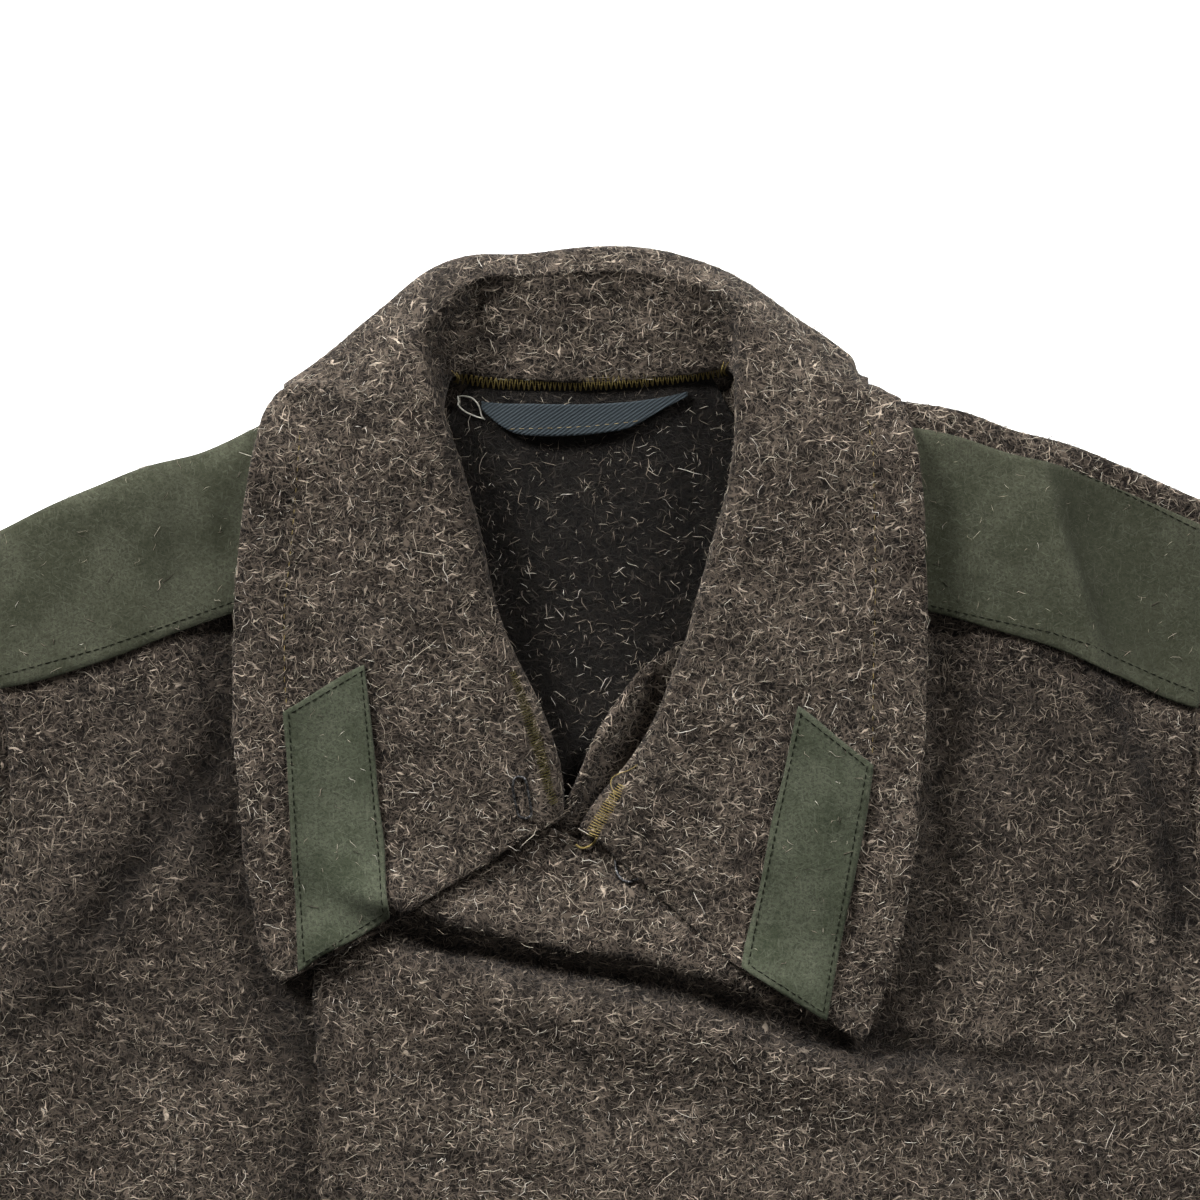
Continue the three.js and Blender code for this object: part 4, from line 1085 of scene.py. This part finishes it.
def hairRoots(mesh, kind, share, draw):
    # random places on a shell's faces with their normals, more of them round the collar
    mesh.calc_loop_triangles()
    corners = np.empty(len(mesh.loop_triangles) * 3, dtype=np.int32)
    mesh.loop_triangles.foreach_get("vertices", corners)
    triangles = pointsOf(mesh)[corners.reshape(-1, 3)]
    crossed = np.cross(triangles[:, 1] - triangles[:, 0], triangles[:, 2] - triangles[:, 0])
    twice = np.maximum(np.linalg.norm(crossed, axis=1), 1e-12)
    middle = triangles.mean(axis=1)
    ys = (middle[:, 1] - neckSeam.y) / mm
    fade = hairSettings["nearFrom"] - hairSettings["nearTo"]
    nearness = np.clip((ys - hairSettings["nearTo"]) / fade, 0.0, 1.0)
    density = kind["far"] + (kind["near"] - kind["far"]) * nearness
    density = np.where(crossed[:, 2] / twice < -0.5, kind["far"] * hairSettings["undersideShare"], density)
    wanted = twice / 2.0 * density * share
    count = int(wanted.sum())
    chosen = draw.choice(len(wanted), size=count, p=wanted / wanted.sum())
    first, second = draw.random(count), draw.random(count)
    over = first + second > 1.0
    first, second = np.where(over, 1.0 - first, first), np.where(over, 1.0 - second, second)
    start, nextCorner, lastCorner = np.moveaxis(triangles[chosen], 1, 0)
    roots = start + first[:, None] * (nextCorner - start) + second[:, None] * (lastCorner - start)
    return roots, crossed[chosen] / twice[chosen][:, None]


def clearOfSewing(roots, normals, draw):
    # hairs keep off the wires, and most of them off the sewn bands
    xs, ys = flatOf(roots)
    kept = np.ones(len(roots), dtype=bool)
    for paths, reach, share in (([wire["path"] for wire in wires.values()], 2.4, 1.0),
                                ([band["path"] for band in stitchBands.values()], 4.0, 0.8)):
        for path in paths:
            away = np.full(len(roots), np.inf)
            for start, end in zip(path, path[1:]):
                away = np.minimum(away, nearSegment(xs, ys, start, end)[1])
            kept &= (away > reach) | (draw.random(len(roots)) > share)
    return roots[kept], normals[kept]


def growHairs(name, kindName, everything, draw):
    kind = hairKinds[kindName]
    roots, normals = hairRoots(shells[name].data, kind, hairyPieces[name], draw)
    roots, normals = clearOfSewing(roots, normals, draw)
    reach = hairSettings["clearance"] * mm
    bare = [
        index for index, (root, normal) in enumerate(zip(roots, normals))
        if everything.ray_cast(Vector(root + normal * 5e-5), Vector(normal), reach)[0] is None
    ]
    roots, normals = roots[bare], normals[bare]
    count = len(roots)
    if count < 3:
        return 0
    side = np.cross(normals, np.array([0.31, 0.94, 0.12]))
    side /= np.linalg.norm(side, axis=1, keepdims=True)
    ahead = np.cross(normals, side)
    stations = kind["rings"] + 1
    length = draw.uniform(*kind["length"], count) * mm
    turn = draw.uniform(0.0, 2.0 * math.pi, count)
    bend = draw.normal(0.0, 0.5, count) * kind["bend"]
    snake = draw.normal(0.0, 0.35, count) * kind["bend"]
    wild = draw.random(count) < hairSettings["wildShare"]
    rise = np.where(wild, draw.uniform(*hairSettings["wildRise"], count), 0.0)
    lift = draw.uniform(*hairSettings["lift"], count) * mm
    path = np.empty((count, stations, 3))
    place = roots.copy()
    path[:, 0] = place
    for station in range(1, stations):
        share = (station - 0.5) / (stations - 1) - 0.5
        heading = turn + bend * share + snake * math.cos(2.0 * math.pi * share)
        climb = rise * (0.6 - 0.7 * (share + 0.5))
        step = np.cos(heading)[:, None] * side + np.sin(heading)[:, None] * ahead + climb[:, None] * normals
        place = place + step * (length / (stations - 1))[:, None]
        path[:, station] = place
    surface = surfaceOf([name])
    for index in range(count):
        low = lift[index]
        for station in range(stations):
            point = Vector(path[index, station])
            near, normal, _, _ = surface.find_nearest(point)
            if not wild[index] or (point - near).dot(normal) < low:
                path[index, station] = near + normal * low
    path[:, 0] -= normals * hairSettings["rootDepth"]
    path[:, :, 2] = np.maximum(path[:, :, 2], hairSettings["floorGap"])
    tone = draw.random(count)
    deep, even = draw.uniform(0.0, 0.3, count), draw.uniform(0.3, 0.8, count)
    shade = np.where(tone < hairSettings["deep"], deep, even)
    shade = np.where(tone > 1.0 - hairSettings["pale"], draw.uniform(0.8, 1.0, count), shade)
    # painted shade: hairs rooted in the painted shade's zones are coloured darker
    if "paintedShadeZones" in clothPieces[name]:
        shade *= 1.0 - hairSettings["hairPaintedShade"] * paintedShadeStrength(roots, clothPieces[name]["paintedShadeZones"])
    radius = draw.uniform(*kind["thick"], count) / 2.0 * mm
    form = formOf(3, kind["rings"])
    joinForms(name + kindName.capitalize() + "Hairs", "hair", form, path, radius, 0.7, shade)
    return count


hairDraw = np.random.default_rng(hairSettings["seed"])
wholeCoat = surfaceOf(list(shells))
for name in hairyPieces:
    grown = {kindName: growHairs(name, kindName, wholeCoat, hairDraw) for kindName in hairKinds}
    print("hairs on", name, grown)


# Floor


def makeFloor():
    bm = bmesh.new()
    bmesh.ops.create_grid(bm, x_segments=1, y_segments=1, size=lighting["floorSide"] / 2.0)
    bmesh.ops.translate(bm, verts=bm.verts, vec=(0.0, 0.0, -lighting["floorDrop"] * mm))
    mesh = bpy.data.meshes.new("floor")
    bm.to_mesh(mesh)
    bm.free()
    mesh.materials.append(looks["floor"])
    floor = addObject("floor", mesh)


makeFloor()
print("pieces done")
